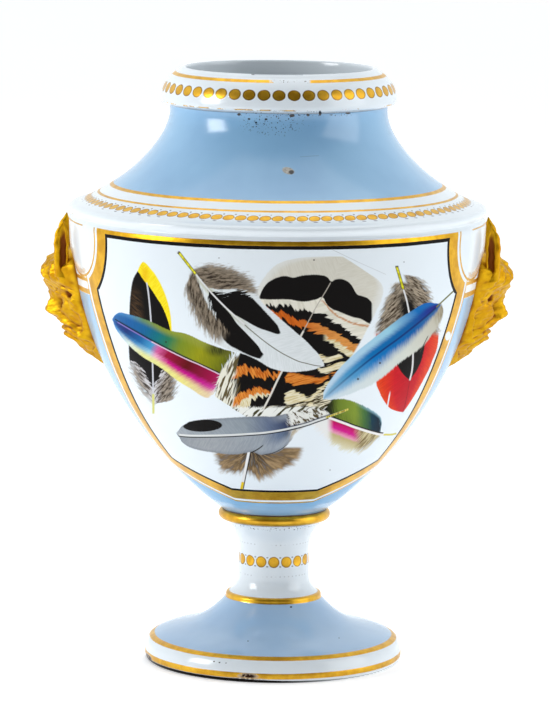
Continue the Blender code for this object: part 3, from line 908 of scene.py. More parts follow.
    c = g.mix(g.step(g.mad(fur, 9.0, f.ab - brown_edge - 4.5), -1.2, 1.2) * g.step(f.a, 0.50, 0.44), c, brown)
    col = g.mix(m * g.max(g.step(f.a, 0.10, 0.13), g.step(f.ab, 2.5, 5.0)), col, c)
    col = f.quill(col, srgb(90, 88, 70), 0.45, 0.34, 0.985, soft=0.45)
    col = f.quill(col, srgb(214, 214, 214), 0.8, 0.13, 0.52)
    col = f.quill(col, srgb(60, 50, 18), 1.5, -0.01, 0.14)
    col = f.quill(col, g.mix(g.step(g.noise1(f.a * 60.0), 0.45, 0.55), srgb(190, 184, 40), srgb(226, 220, 60)),
                  1.0, 0.0, 0.14)

    # black and red feather with grey-brown down
    f = Feather(g, u, v, [(396.9, 267.3), (401.8, 284), (409, 312), (412.5, 340), (413, 356), (409.5, 382),
                          (403, 412.5)],
                [(405, 276.5), (410.5, 275.5), (416, 276.5), (421.5, 280), (426.5, 287), (430, 296), (432, 306), (434.5, 318),
                 (438, 332),
                 (437.5, 345), (431.7, 361), (421.7, 383), (412, 399), (406.5, 407.5)],
                [(395, 284), (389, 294), (384, 305), (379, 318), (376, 332), (375, 350), (375.5, 378), (379.5, 393),
                 (384, 401.5), (389.5, 408), (395, 411), (400, 412)],
                slant=0.75, seed=6.7, freq=0.85)
    lower = g.step(v, 330.0, 338.0)
    fur = f.fur(0.45)
    m = g.mixf(lower, f.fuzz(fur, 18.0, 4.0, 0.50), f.vane(1.0, 0.55))
    tone = g.grain(g.mad(f.t, 0.55, 31.0), 480.0, 2.0, 0.6)
    c = g.mix(g.step(g.mad(fur, 0.5, tone * 0.5), 0.38, 0.62), srgb(58, 46, 34), srgb(166, 152, 132))
    c = g.mix(g.step(g.mad(f.N, 9.0, f.ab), 16.0, 8.0) * g.step(v, 288.0, 306.0), c, K)
    core = g.mixf(f.right,
                  g.curve(v, [(335, 14.0), (350, 11.0), (360, 8.6), (370, 5.0), (376, 2.0), (380, 0.0)], 335.0, 380.0),
                  g.curve(v, [(335, 24.0), (350, 20.0), (360, 17.5), (370, 12.0), (376, 6.0), (380, 0.0)], 335.0, 380.0))
    red = g.ramp(f.rel(), [(0.0, srgb(190, 16, 34)), (0.45, srgb(200, 22, 34)), (0.80, srgb(222, 58, 24)),
                           (1.0, srgb(226, 78, 30))])
    red = g.mix(f.streak(0.3, 0.0), red, srgb(150, 10, 26))
    lobe = g.step(g.mad(f.N, 1.6, core - f.ab - 0.8), -0.7, 0.7)
    c = g.mix(lower, c, g.mix(lobe, red, K))
    split = g.step(g.abs(g.mad(v, 0.18, u) - 460.6), 0.2, 1.0, 1.0, 0.0) * g.step(v, 390.0, 396.0)
    gate = g.max(g.step(f.a, 0.09, 0.12), g.step(f.ab, 3.0, 7.0))
    col = g.mix(m * (1.0 - split) * gate, col, c)
    col = f.quill(col, srgb(214, 214, 214), 0.8, 0.14, 0.78)
    col = f.quill(col, srgb(70, 60, 18), 1.6, -0.01, 0.155)
    col = f.quill(col, g.mix(g.step(g.noise1(f.a * 50.0), 0.45, 0.55), srgb(186, 180, 36), srgb(222, 216, 50)),
                  1.05, 0.0, 0.15)

    # blue feather
    f = Feather(g, u, v, [(455.3, 289.4), (439, 304.6), (428, 315), (407, 332), (382, 350.6), (357, 370),
                          (337, 387), (323.5, 400)],
                [(325.5, 400.8), (331, 400.2), (339.6, 397.6), (357, 391), (382, 378), (400.6, 362), (419, 349),
                 (433, 333), (441, 320), (443.5, 309)],
                [(322.6, 397), (324.5, 391), (332, 378), (341, 367), (351, 357), (369.5, 341.5), (388, 327),
                 (400, 318), (410.5, 311.5), (420, 305.5), (427, 302.6), (436, 303.2)],
                slant=0.7, seed=7.9, freq=0.9)
    m = g.mixf(f.right, f.vane(3.4, 1.0), f.vane(0.8, 0.6))
    x = f.a
    up = g.ramp(x, [(0.0, srgb(50, 26, 104)), (0.14, srgb(36, 22, 116)), (0.22, srgb(18, 50, 136)),
                    (0.34, srgb(0, 86, 150)), (0.62, srgb(0, 104, 168)), (0.80, srgb(70, 144, 190)),
                    (1.0, srgb(140, 180, 204))])
    out_up = g.ramp(x, [(0.0, srgb(30, 70, 170)), (0.25, srgb(10, 104, 172)), (0.45, srgb(146, 196, 214)),
                        (0.7, srgb(168, 202, 224)), (1.0, srgb(190, 212, 228))])
    up = g.mix(g.step(g.mad(f.N, 0.2, f.rel() - 0.1), 0.24, 0.76), up, out_up)
    low = g.ramp(x, [(0.0, srgb(40, 60, 140)), (0.20, srgb(44, 96, 150)), (0.34, srgb(0, 88, 156)),
                     (0.62, srgb(10, 112, 180)), (0.78, srgb(80, 150, 196)), (1.0, srgb(160, 192, 216))])
    out_low = g.ramp(x, [(0.0, srgb(170, 164, 140)), (0.22, srgb(186, 182, 166)), (0.45, srgb(202, 206, 196)),
                         (0.75, srgb(206, 216, 216)), (1.0, srgb(200, 216, 226))])
    low = g.mix(g.step(g.mad(f.N, 0.28, f.rel() - 0.14), 0.16, g.step(f.a, 0.1, 0.6, 0.42, 0.78)), low, out_low)
    fluff = g.step(f.a, 0.24, 0.13) * g.step(g.mad(f.N, 0.4, f.rel()), 0.4, 0.7) * f.streak(0.9, 0.2)
    low = g.mix(fluff, low, srgb(110, 92, 50))
    c = g.mix(f.right, low, up)
    dark_q = g.step(f.ab, 1.6, 0.2) * g.band(f.a, 0.12, 0.97, 0.03)
    c = g.mix(dark_q * g.step(f.a, 1.0, 0.5, 0.3, 0.8), c, srgb(10, 26, 90))
    col = g.mix(m * g.step(f.a, 0.105, 0.13), col, c)
    col = f.quill(col, srgb(110, 112, 70), 0.7, 0.0, 0.15)
    notch = g.step(g.abs(g.mad(v, 0.5, u) - 596.0), 0.0, 0.9, 1.0, 0.0) * g.band(v, 336.0, 352.0, 1.5)
    col = g.mix(notch, col, srgb(60, 58, 50))

    # grey feather with a black oval
    f = Feather(g, u, v, [(348.5, 409.2), (334.7, 414.4), (320, 419.5), (295, 427.2), (270, 432), (248, 434),
                          (213, 435.6), (180, 434.8), (176, 432.5)],
                [(176.6, 435), (182, 442), (195, 448.5), (213, 452.3), (236.6, 454), (251, 452), (262, 454.6),
                 (275, 452.8), (286, 445), (291, 440), (296, 433), (306, 426), (320, 421)],
                [(177, 429.5), (184.7, 423.9), (197.6, 419.6), (219, 418.2), (240, 417), (262, 416.2), (275, 416),
                 (290, 412.5), (303, 410), (318, 409), (328, 412)],
                slant=0.65, seed=3.1, freq=0.8)
    root = g.step(g.mad(f.N, 0.06, f.a), 0.40, 0.36)
    m = g.mixf(root, f.vane(1.2, 0.6), f.vane(5.0, 1.2))
    x = g.mad(f.N, 0.05, f.a - 0.025)
    up = g.ramp(x, [(0.0, srgb(60, 60, 60)), (0.26, srgb(44, 52, 74)), (0.36, srgb(40, 50, 84)),
                    (0.46, srgb(92, 106, 134)), (0.60, srgb(142, 152, 160)), (1.0, srgb(160, 166, 172))])
    low = g.ramp(x, [(0.0, srgb(60, 60, 60)), (0.30, srgb(52, 60, 80)), (0.42, srgb(100, 116, 142)),
                     (0.52, srgb(152, 160, 168)), (0.85, srgb(158, 162, 166)), (1.0, srgb(140, 146, 152))])
    up = g.mix(g.step(f.rel(), 0.35, 0.95) * g.step(f.a, 0.5, 0.35), up, srgb(150, 158, 168))
    low = g.mix(g.step(f.rel(), 0.25, 0.8) * g.step(f.a, 0.6, 0.4, 0.0, 0.8), low, srgb(166, 174, 182))
    c = g.mix(f.right, low, up)
    c = g.mix(f.streak(0.22, 0.0), c, srgb(90, 98, 108))
    c = g.mix(g.step(f.rel(), 0.78, 1.02) * 0.5, c, srgb(110, 116, 124))
    curls = g.mix(g.step(f.fur(0.42, 500.0), 0.41, 0.50), srgb(84, 72, 48), srgb(224, 224, 218))
    low_fluff = g.mix(f.streak(0.0, 1.0), srgb(168, 152, 120), srgb(228, 228, 226))
    c = g.mix(root * g.step(f.ab, 1.0, 3.4), c, g.mix(f.right, low_fluff, curls))
    oval = g.sqrt(((u - 202.6) * (1 / 19.6)) ** 2.0 + ((v - 425.6 + (u - 202.6) * 0.02) * (1 / 6.1)) ** 2.0)
    c = g.mix(g.step(oval, 1.04, 0.95), c, K)
    col = g.mix(m, col, c)
    slit = g.step(g.abs(v - 452.2 + (u - 252.0) * 0.40 + (u - 252.0) ** 2.0 * 0.02), 0.2, 1.1, 1.0, 0.0) * g.band(u, 251.0, 263.0, 1.0)
    col = g.mix(slit, col, srgb(36, 30, 26))
    slit = g.step(g.abs(v - 454.4 + (u - 264.0) ** 2.0 * 0.018), 0.1, 0.9, 1.0, 0.0) * g.band(u, 264.0, 288.0, 2.0)
    col = g.mix(slit * 0.8, col, srgb(40, 36, 34))
    col = f.quill(col, srgb(30, 30, 34), 0.55, 0.12, 0.99, shift=-1.5)
    col = f.quill(col, srgb(214, 216, 214), 0.95, 0.02, 0.985)
    col = f.quill(col, g.mix(g.step(g.noise1(f.a * 90.0), 0.44, 0.56), srgb(150, 130, 40), srgb(210, 198, 90)),
                  0.95, 0.0, 0.135)
    return col


def decorate(name, feathers):
    g = Graph(name)
    x, y, z, phi, s = ring_terms(g)
    wobble = g.noise(60.0, 2.0)                      # hand-drawn unevenness
    fine = g.noise(900.0, 2.0)
    sw = s + (wobble - 0.5) * 0.25 + (fine - 0.5) * 0.10
    col = g.mix(g.noise(25.0, 2.0), srgb(222, 230, 236), srgb(231, 238, 242))

    # blue ground: neck, under the panel and foot
    s_neck0, s_neck1 = s_of(136.75), s_of(159.55)
    neck = g.band(sw, s_neck0, s_neck1, 0.08)
    foot = g.band(sw, s_of(6.9), s_of(18.0), 0.08)
    d, side, ring, ring_angle = panel_distance(g, phi, s, z)
    dw = d + (wobble - 0.5) * 0.3 + (fine - 0.5) * 0.08
    bowl = g.band(sw, s_of(43.9), s_of(107.4), 0.08)
    outside = g.step(dw, -6.9, -6.7, 1.0, 0.0)
    blue = g.max(g.max(neck, foot), bowl * outside)
    tone = g.noise(38.0, 3.0, 0.6)
    blue_col = g.mix(g.step(tone, 0.3, 0.7), srgb(128, 173, 211), srgb(139, 185, 220))
    # painted light: the blue on the upward-facing foot dome is made paler
    blue_col = g.mix(foot * 0.75, blue_col, g.mix(g.step(tone, 0.35, 0.65), srgb(160, 189, 220), srgb(172, 199, 227)))
    col = g.mix(blue, col, blue_col)
    u, v = picture_plane(g, x, y, z)

    if feathers:
        col = paint_feathers(g, col, u, v)
        for cu, cv, r in ((314, 260, 0.9), (380, 363, 1.1), (358, 379, 1.2), (166, 342, 1.0), (404, 262, 0.6),
                          (219, 258, 0.6), (330, 470, 0.6), (196, 430, 0.5)):
            col = g.mix(spot(g, u, v, cu, cv, r) * 0.75, col, srgb(40, 38, 36))
        crack = g.max(stroke(g, u, v, (331, 249), (358, 262), 0.32), stroke(g, u, v, (358, 262), (386, 274.5), 0.26))
        col = g.mix(crack * 0.32, col, srgb(120, 116, 108))
    else:
        front = g.lt(y, 0.0)
        # pits, specks and a fired-in flaw in the blue of the neck
        speck = g.step(g.noise(2000.0, 2.0), 0.625, 0.66)
        dirt = g.max(spot(g, u, v, 276, 124, 32, 11, soft=0.8), g.band(v, 111.0, 116.0, 1.5) * g.band(u, 238, 352, 6.0))
        dirt = g.max(dirt, g.band(sw, s_of(38.9), s_of(40.2), 0.3) * 0.8)
        col = g.mix(speck * dirt * front, col, srgb(38, 38, 42))
        for cu, cv, ru, rv in ((239, 114.4, 1.9, 1.3), (249, 119, 1.4, 0.9), (292, 115.6, 2.7, 1.5),
                               (308, 115.0, 1.7, 1.3), (320, 113.2, 1.3, 2.6), (348, 113.2, 2.5, 0.9),
                               (266, 119.2, 1.5, 0.9), (256, 122.5, 1.1, 0.8), (291, 607, 1.1, 0.8),
                               (253, 74.0, 1.7, 0.9), (214, 661.5, 0.9, 0.7), (219.5, 662.5, 0.9, 0.6),
                               (226, 663.0, 0.7, 0.5), (248, 641, 0.6, 0.5), (339, 638, 0.6, 0.5)):
            col = g.mix(spot(g, u, v, cu, cv, ru, rv) * front, col, srgb(22, 20, 22))
        flaw = spot(g, u, v, 288.3, 170.8, 6.2, 3.4, 0.28, 0.25) * front
        col = g.mix(flaw, col, g.mix(spot(g, u, v, 291.4, 172.2, 2.7, 2.1, 0.2, 0.5),
                                     g.mix(g.noise(1500.0, 2.0), srgb(96, 88, 74), srgb(214, 210, 200)),
                                     srgb(20, 17, 15)))
        col = g.mix(stroke(g, u, v, (300, 156.8), (319, 155.6), 0.4) * front * 0.35, col, srgb(96, 118, 140))
        col = g.mix(stroke(g, u, v, (252, 74.6), (303, 74.9), 0.45) * front * 0.5, col, srgb(70, 92, 120))
        # plain gilt wreath on the hidden back panel
        turned = g.math('ARCTAN2', x, y)
        bx, by = turned * 56.0, s - s_of(94.0)
        rho = g.sqrt(g.mad(bx, bx, by * by))
        th = g.math('ARCTAN2', bx, by)
        px = (g.frac(g.abs(th) * (15 / math.pi)) - 0.5) * 3.35
        py = g.abs(rho - 16.0)
        leaf = g.sqrt(((px - py * 0.85) * (1 / 0.75)) ** 2.0 + ((py - 1.75) * (1 / 1.6)) ** 2.0)
        wreath = g.max(g.step(leaf, 1.05, 0.93), g.step(py, 0.30, 0.18)) * g.step(py, 5.0, 4.0)
        wreath = wreath * g.step(y, 10.0, 12.0) * g.band(s, s_of(60.0), s_of(122.0), 0.5)

    # gilding
    def line(a, b, soft=0.06):
        return g.band(sw, a, b, soft)

    gold = line(s_of(1.15), s_of(2.75))                       # on the foot's edge
    gold = g.max(gold, line(s_of(6.2), s_of(7.1)))
    gold = g.max(gold, line(s_of(17.9), s_of(19.5)))
    gold = g.max(gold, line(s_of(40.75), s_of(43.55)))
    gold = g.max(gold, line(s_of(136.35), s_of(137.0)))
    gold = g.max(gold, line(s_of(134.25), s_of(134.65)))

    # rings of dots, each with a darker outline
    def dots(n, s0, rx, ry, circumference_r, slant=0.0, shift=0.5):
        cell = g.frac(phi * (n / TAU) + shift) - 0.5
        px = cell * (TAU * circumference_r / n)
        py = s - s0
        if slant:
            px = px + py * slant
        return g.sqrt((px * (1 / rx)) ** 2.0 + (py * (1 / ry)) ** 2.0)

    wear = g.noise(240.0, 3.0, 0.6)
    ragged = (fine - 0.5) * 0.14
    if not feathers:
        lip_line = line(s_of(167.9), s_of(168.65))
        lost = g.band(u, 270.0, 310.0, 1.5) * front * g.step(wear, 0.56, 0.50)
        lost = g.max(lost, g.step(wear, 0.64, 0.70) * 0.8)
        gold = g.max(gold, lip_line * (1.0 - lost))
        gold = g.max(gold, line(s_of(160.35), s_of(160.75)) * g.step(wear, 0.50, 0.60) * 0.8)
        col = g.mix(lost * lip_line * speck, col, srgb(70, 56, 40))
        worn = g.max(spot(g, u, v, 248.0, 676.0, 9.0, 2.6, 0.06, 0.8), spot(g, u, v, 148.0, 657.0, 5.0, 2.2, 0.8, 0.6))
        worn = worn * front * g.step(wear * 0.5 + fine * 0.5, 0.41, 0.47)
        worn = g.max(worn, spot(g, u, v, 248.5, 676.4, 4.6, 1.6, 0.05, 0.7) * front)
        stain = spot(g, u, v, 246.0, 680.0, 19.0, 2.4, 0.04, 0.9) * front * g.step(fine, 0.36, 0.56)
        gold = gold * (1.0 - g.max(worn, stain * 0.8))
        col = g.mix(stain * 0.8, col, srgb(84, 56, 12))
        col = g.mix(worn, col, srgb(44, 20, 8))
        # painted contact shadow: a near-black line along the front of the foot's lower edge, wider and darker towards
        # the left, which also takes the gold and the gloss away there
        under = g.step(sw - g.step(x, 30.0, -20.0, s_of(0.4), s_of(1.1)), -0.12, 0.12, 1.0, 0.0) * g.step(sw, -0.6, -0.4)
        under = under * g.step(y, 5.0, -5.0)
        under = under * g.step(x, 32.0, 0.0, 0.3, 1.0)
        col = g.mix(under, col, srgb(14, 10, 9))
        gold = gold * (1.0 - under)
        gloss = g.mixf(g.max(worn, under), 0.75, 0.05)
        rim = 0.0 * wear
        for n, z0, rx, ry, r, slant, low, high in ((49, 164.7, 1.80, 1.62, 32.0, 0.0, 162.3, 167.3),
                                                   (100, 132.85, 1.66, 1.36, 54.0, -0.18, 131.4, 134.2),
                                                   (17, 29.4, 1.62, 1.62, 10.05, 0.0, 27.0, 32.0)):
            dist = dots(n, s_of(z0), rx, ry, r, slant)
            one = g.step(dist + ragged, 1.04, 0.94) * g.band(s, s_of(low), s_of(high), 0.05)
            gold = g.max(gold, one)
            rim = g.max(rim, one * g.step(dist, 0.76, 0.90))
        # small dark points between the dots
        low, high = s_of(132.85) - 1.9, s_of(132.85) + 1.6
        tiny = g.max(g.step(dots(100, high, 0.32, 0.28, 54.0, 0.0, 0.0), 1.3, 0.7),
                     g.step(dots(100, low, 0.60, 0.26, 52.5, 0.5, 0.5), 1.3, 0.7)) * g.step(wear, 0.40, 0.46)
        tiny = g.max(tiny, g.max(g.step(dots(17, s_of(30.7), 0.34, 0.2, 10.05, 0.0, 0.0), 1.3, 0.7),
                                 g.step(dots(17, s_of(28.1), 0.34, 0.2, 10.05, 0.0, 0.0), 1.3, 0.7)))
        tiny = g.max(tiny, g.step(dots(51, s_of(34.4), 0.22, 0.2, 10.3, 0.0, 0.0), 1.3, 0.7) * g.step(wear, 0.40, 0.55) * 0.4)
        tiny = g.max(tiny, g.step(dots(51, s_of(25.2), 0.22, 0.2, 10.3, 0.0, 0.0), 1.3, 0.7) * g.step(wear, 0.40, 0.55) * 0.4)
        col = g.mix(tiny * 0.75, col, srgb(84, 78, 84))
        gold = g.max(gold, wreath)

    # the panel's frame: black line, broad gold, white line, thin gold line
    black = g.band(dw, -1.0, 0.0, 0.07)
    broad = g.band(dw, -5.2, -0.95, 0.07)
    thin = g.band(dw, -6.9, -6.25, 0.07)
    under_top = g.step(sw, s_of(127.15), s_of(127.3), 1.0, 0.0)
    gold = g.max(gold, g.max(broad, thin) * under_top)
    if feathers:
        worn = spot(g, u, v, 448.0, 336.0, 2.6, 4.6, 0.25, 0.3)
        gold = gold * (1.0 - worn)

    # beside the frame: the girdle's stripes, a loop with its fringe and a line under the ridge
    beside = g.step(side, -6.6, -6.9) * g.step(s, s_of(127.4), s_of(127.2))
    girdle = g.max(line(s_of(111.1), s_of(112.2)), line(s_of(107.5), s_of(109.0))) * outside
    loop = g.band(ring, -6.9, -6.25, 0.07) * g.step(s, s_of(110.0), s_of(111.0))
    hair = g.step(g.abs(g.frac(ring_angle * 11.0) - 0.5), 0.16, 0.30, 1.0, 0.0)
    reach = g.mad(wear, -4.5, -6.6)
    fringe = hair * g.step(ring, reach, reach + 0.8) * g.step(ring, -6.7, -6.9) * g.step(s, s_of(118.5), s_of(117.5))
    under_ridge = line(s_of(126.75), s_of(127.1))
    gold = g.max(gold, g.max(g.max(girdle, loop), g.max(fringe, under_ridge)) * beside)

    metal = gold
    gold_mottle = g.noise(300.0, 3.0, 0.6)
    gold_col = g.mix(g.step(gold_mottle, 0.30, 0.72), srgb(200, 146, 24), srgb(229, 177, 44))
    if not feathers:
        gold_col = g.mix(rim * 0.8, gold_col, srgb(112, 82, 24))
    col = g.mix(gold, col, gold_col)
    # dark brown lines along the collar's two edges, and a weaker painted shadow under the lip where it meets the blue
    # neck
    edge = g.max(g.band(sw, s_of(40.35), s_of(40.8), 0.08), g.band(sw, s_of(43.5), s_of(43.85), 0.08))
    edge = g.max(edge, g.band(sw, s_of(159.35), s_of(159.7), 0.1) * 0.6)
    col = g.mix(edge * 0.8, col, srgb(64, 42, 18))
    col = g.mix(black * under_top, col, BLACK)
    metal = metal * (1.0 - black) * 0.78

    rough = g.mixf(metal, 0.17, 0.34)
    if feathers:
        gloss = 0.06
    height = gold * 0.5 + g.noise(55.0, 2.0) * 0.25
    return g.surface(col, metal, rough, bump=height, strength=0.12, distance=0.0002, Specular_IOR_Level=gloss)


body_mat = decorate("porcelain_glazed_and_gilt", False)
panel_mat = decorate("porcelain_painted_panel", True)
body = body_mesh(panel_mat, body_mat)
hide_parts("mantel_urn")
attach(body, "root")


# ---- the satyr masks -----------------------------------------------------
MASK_Z = np.array([84.3, 84.9, 86.6, 88.6, 92.0, 94.6, 97.2, 99.4, 101.4, 104.6, 107.6, 111.0, 114.2, 116.4, 117.8,
                   118.5])
MASK_W = np.array([0.5, 1.2, 2.9, 4.7, 7.4, 9.0, 10.0, 10.6, 11.0, 11.4, 12.0, 13.1, 12.9, 11.0, 8.6, 6.0])
FACE_Z = np.array([84.3, 84.9, 86.6, 88.6, 92.0, 94.4, 96.0, 98.0, 100.0, 103.0, 105.8, 108.0, 110.4, 112.4, 114.2,
                   116.6, 118.0, 118.5])
FACE_P = np.array([0.0, 0.5, 2.1, 3.9, 6.2, 7.6, 7.3, 7.8, 7.7, 7.3, 7.9, 8.7, 9.0, 8.3, 6.6, 4.0, 1.4, 0.2])


def ease(z, zs, vs):
    """Smooth reading of a table."""
    out = np.zeros_like(z)
    for k, wt in ((-0.6, 0.15), (-0.3, 0.22), (0.0, 0.26), (0.3, 0.22), (0.6, 0.15)):
        out += wt * np.interp(z + k, zs, vs)
    return out


def mound(y, z, cy, cz, ry, rz, h):
    return h * (np.exp(-((y - cy) / ry) ** 2 - ((z - cz) / rz) ** 2) + np.exp(-((y + cy) / ry) ** 2
                - ((z - cz) / rz) ** 2)) * (0.5 if cy == 0 else 1.0)


def crease(y, z, points, width, h):
    """A ridge (or, with negative h, a groove) along a line, on both sides of the face."""
    best = np.full(y.shape, 1e9)
    for (y0, z0), (y1, z1) in zip(points, points[1:]):
        dy, dz = y1 - y0, z1 - z0
        for side in (1, -1):
            t = np.clip(((side * y - y0) * dy + (z - z0) * dz) / (dy * dy + dz * dz), 0, 1)
            best = np.minimum(best, np.hypot(side * y - y0 - t * dy, z - z0 - t * dz))
    return h * np.exp(-(best / width) ** 2)


def mask_height(y, z, wide=1.0):
    """The relief of a mask over the wall; wide sets how far apart its features stand."""
    w = ease(z, MASK_Z, MASK_W)
    t = np.clip(np.abs(y) / w, 0, 1.2)
    p = ease(z, FACE_Z, FACE_P)
    hair = 1 / (1 + np.exp(-(z - 110.8) / 1.1))
    section = (1 - hair) * (1 - np.clip(t, 0, 1) ** 1.75) + hair * (1 - np.clip(t, 0, 1) ** 2.6) ** 0.8
    h = p * section
    fade = np.clip((1 - t) / 0.16, 0, 1)
    fade = fade * fade * (3 - 2 * fade)
    d = np.zeros_like(h)
    y_all, y = y, y / wide
    # nose with its wings
    nose = np.interp(z, [98.0, 98.6, 99.3, 100.3, 101.8, 103.6, 106.0, 108.0], [0, 0.8, 2.8, 3.4, 2.7, 1.3, 0.5, 0.0])
    d += nose * np.exp(-(y / np.interp(z, [99.0, 101.0, 104.5, 107.0], [2.1, 1.8, 1.2, 1.6])) ** 2)
    d += mound(y, z, 1.9, 99.4, 0.9, 0.8, 1.0)
    d += mound(y, z, 1.2, 98.6, 0.5, 0.35, -0.5)
    # deep hollows beside the nose, then sockets, eyes and brows
    d += mound(y, z, 3.1, 102.5, 1.15, 1.4, -2.7)
    d += mound(y, z, 6.6, 106.1, 3.1, 1.7, -1.3)
    d += mound(y, z, 6.8, 106.0, 2.1, 1.15, 1.5)
    d += crease(y, z, [(4.2, 105.8), (5.6, 107.0), (7.6, 107.1), (9.2, 105.9)], 0.42, 0.55)
    d += crease(y, z, [(4.2, 105.6), (5.8, 104.8), (7.6, 104.8), (9.2, 105.6)], 0.40, 0.45)
    d += mound(y, z, 7.0, 105.6, 0.60, 0.68, -2.5)
    d += crease(y, z, [(1.8, 108.0), (4.0, 109.3), (7.2, 109.0), (10.0, 107.2), (10.8, 105.2)], 0.95, 0.85)
    # cheeks, folds and mouth
    d += mound(y, z, 4.9, 101.2, 1.9, 1.5, 1.0)
    d += mound(y, z, 7.6, 103.0, 2.2, 1.4, 0.8)
    d += crease(y, z, [(2.7, 100.0), (4.0, 98.6), (5.2, 96.6)], 0.55, -0.7)
    d += crease(y, z, [(9.4, 101.6), (8.3, 99.6), (7.2, 97.2), (6.4, 95.0)], 1.3, -1.5)
    d += crease(y, z, [(0.0, 96.2), (1.8, 96.1), (3.7, 95.6)], 0.6, -0.75)
    d += crease(y, z, [(0.0, 97.1), (1.4, 97.1), (3.2, 96.6)], 0.65, 0.35)
    d += crease(y, z, [(0.0, 95.1), (2.4, 95.0)], 0.8, 0.40)
    d += mound(y, z, 0.0, 94.1, 2.6, 0.55, -0.7)
    d += mound(y, z, 0.0, 92.9, 2.4, 1.2, 1.2)
    y = y_all
    # moustache, sweeping out and down
    for b in (0.0, 1.1):
        d += crease(y, z, [(0.8, 98.7 - b * 0.5), (3.4, 98.0 - b), (5.8, 95.8 - b), (7.0, 93.0 - b)], 0.45, 0.65)
    # beard: strands that run together to a point
    beard = 1 / (1 + np.exp((z - 93.4 - 0.16 * np.abs(y) ** 1.3) / 0.6))
    wave = 0.45 * np.sin(z * 0.8 + 1.0)
    strands = np.abs(np.sin(math.pi * (2.6 * y / w + wave * np.tanh(y * 2))))
    d += beard * (1.0 * (strands - 0.5)) * np.clip((z - 84.6) / 3.0, 0.15, 1)
    # locks beside the face
    for i, (yy, zz) in enumerate(((10.7, 103.6), (10.2, 100.6), (9.7, 97.9), (8.8, 95.4), (7.4, 92.9))):
        d += crease(y, z, [(yy + 0.4, zz + 1.4), (yy - 0.5, zz + 0.3), (yy + 0.1, zz - 1.2)], 0.85, 1.5)
    # hair: blunt locks that hang over the brow, in two rows
    for i, yy in enumerate((0.0, 2.7, 5.4, 8.0, 10.4)):
        low = 111.0 - 0.014 * yy * yy + 0.35 * (i % 2)
        lean = 0.5 * (-1) ** i
        d += crease(y, z, [(yy + lean, low + 3.6), (yy, low + 1.4), (yy - lean * 0.6, low)], 1.0, 0.95)
        d += mound(y, z, yy, low + 0.1, 1.0, 0.9, 0.5)
    for i, yy in enumerate((1.4, 4.2, 6.9)):
        d += crease(y, z, [(yy, 117.6), (yy + 0.3, 115.4)], 0.9, 0.8)
    # unevenness from the mould and hand finishing
    d += 0.20 * np.sin(y * 1.7 + z * 1.1) * np.sin(z * 1.5 - y * 0.7) + 0.16 * np.sin(y * 2.9 - z * 1.9) * np.sin(z * 2.7 + y)
    return np.maximum(h + d * fade, 0.0) * np.clip((1.0 - t) / 0.04, 0, 1) ** 0.5


def blur(a, n):
    k = np.exp(-np.linspace(-2, 2, 2 * n + 1) ** 2)
    k /= k.sum()
    pad = np.pad(a, n, mode='edge')
    rows = sum(k[i] * pad[i:i + a.shape[0], :] for i in range(2 * n + 1))
    return sum(k[i] * rows[:, i:i + a.shape[1]] for i in range(2 * n + 1))


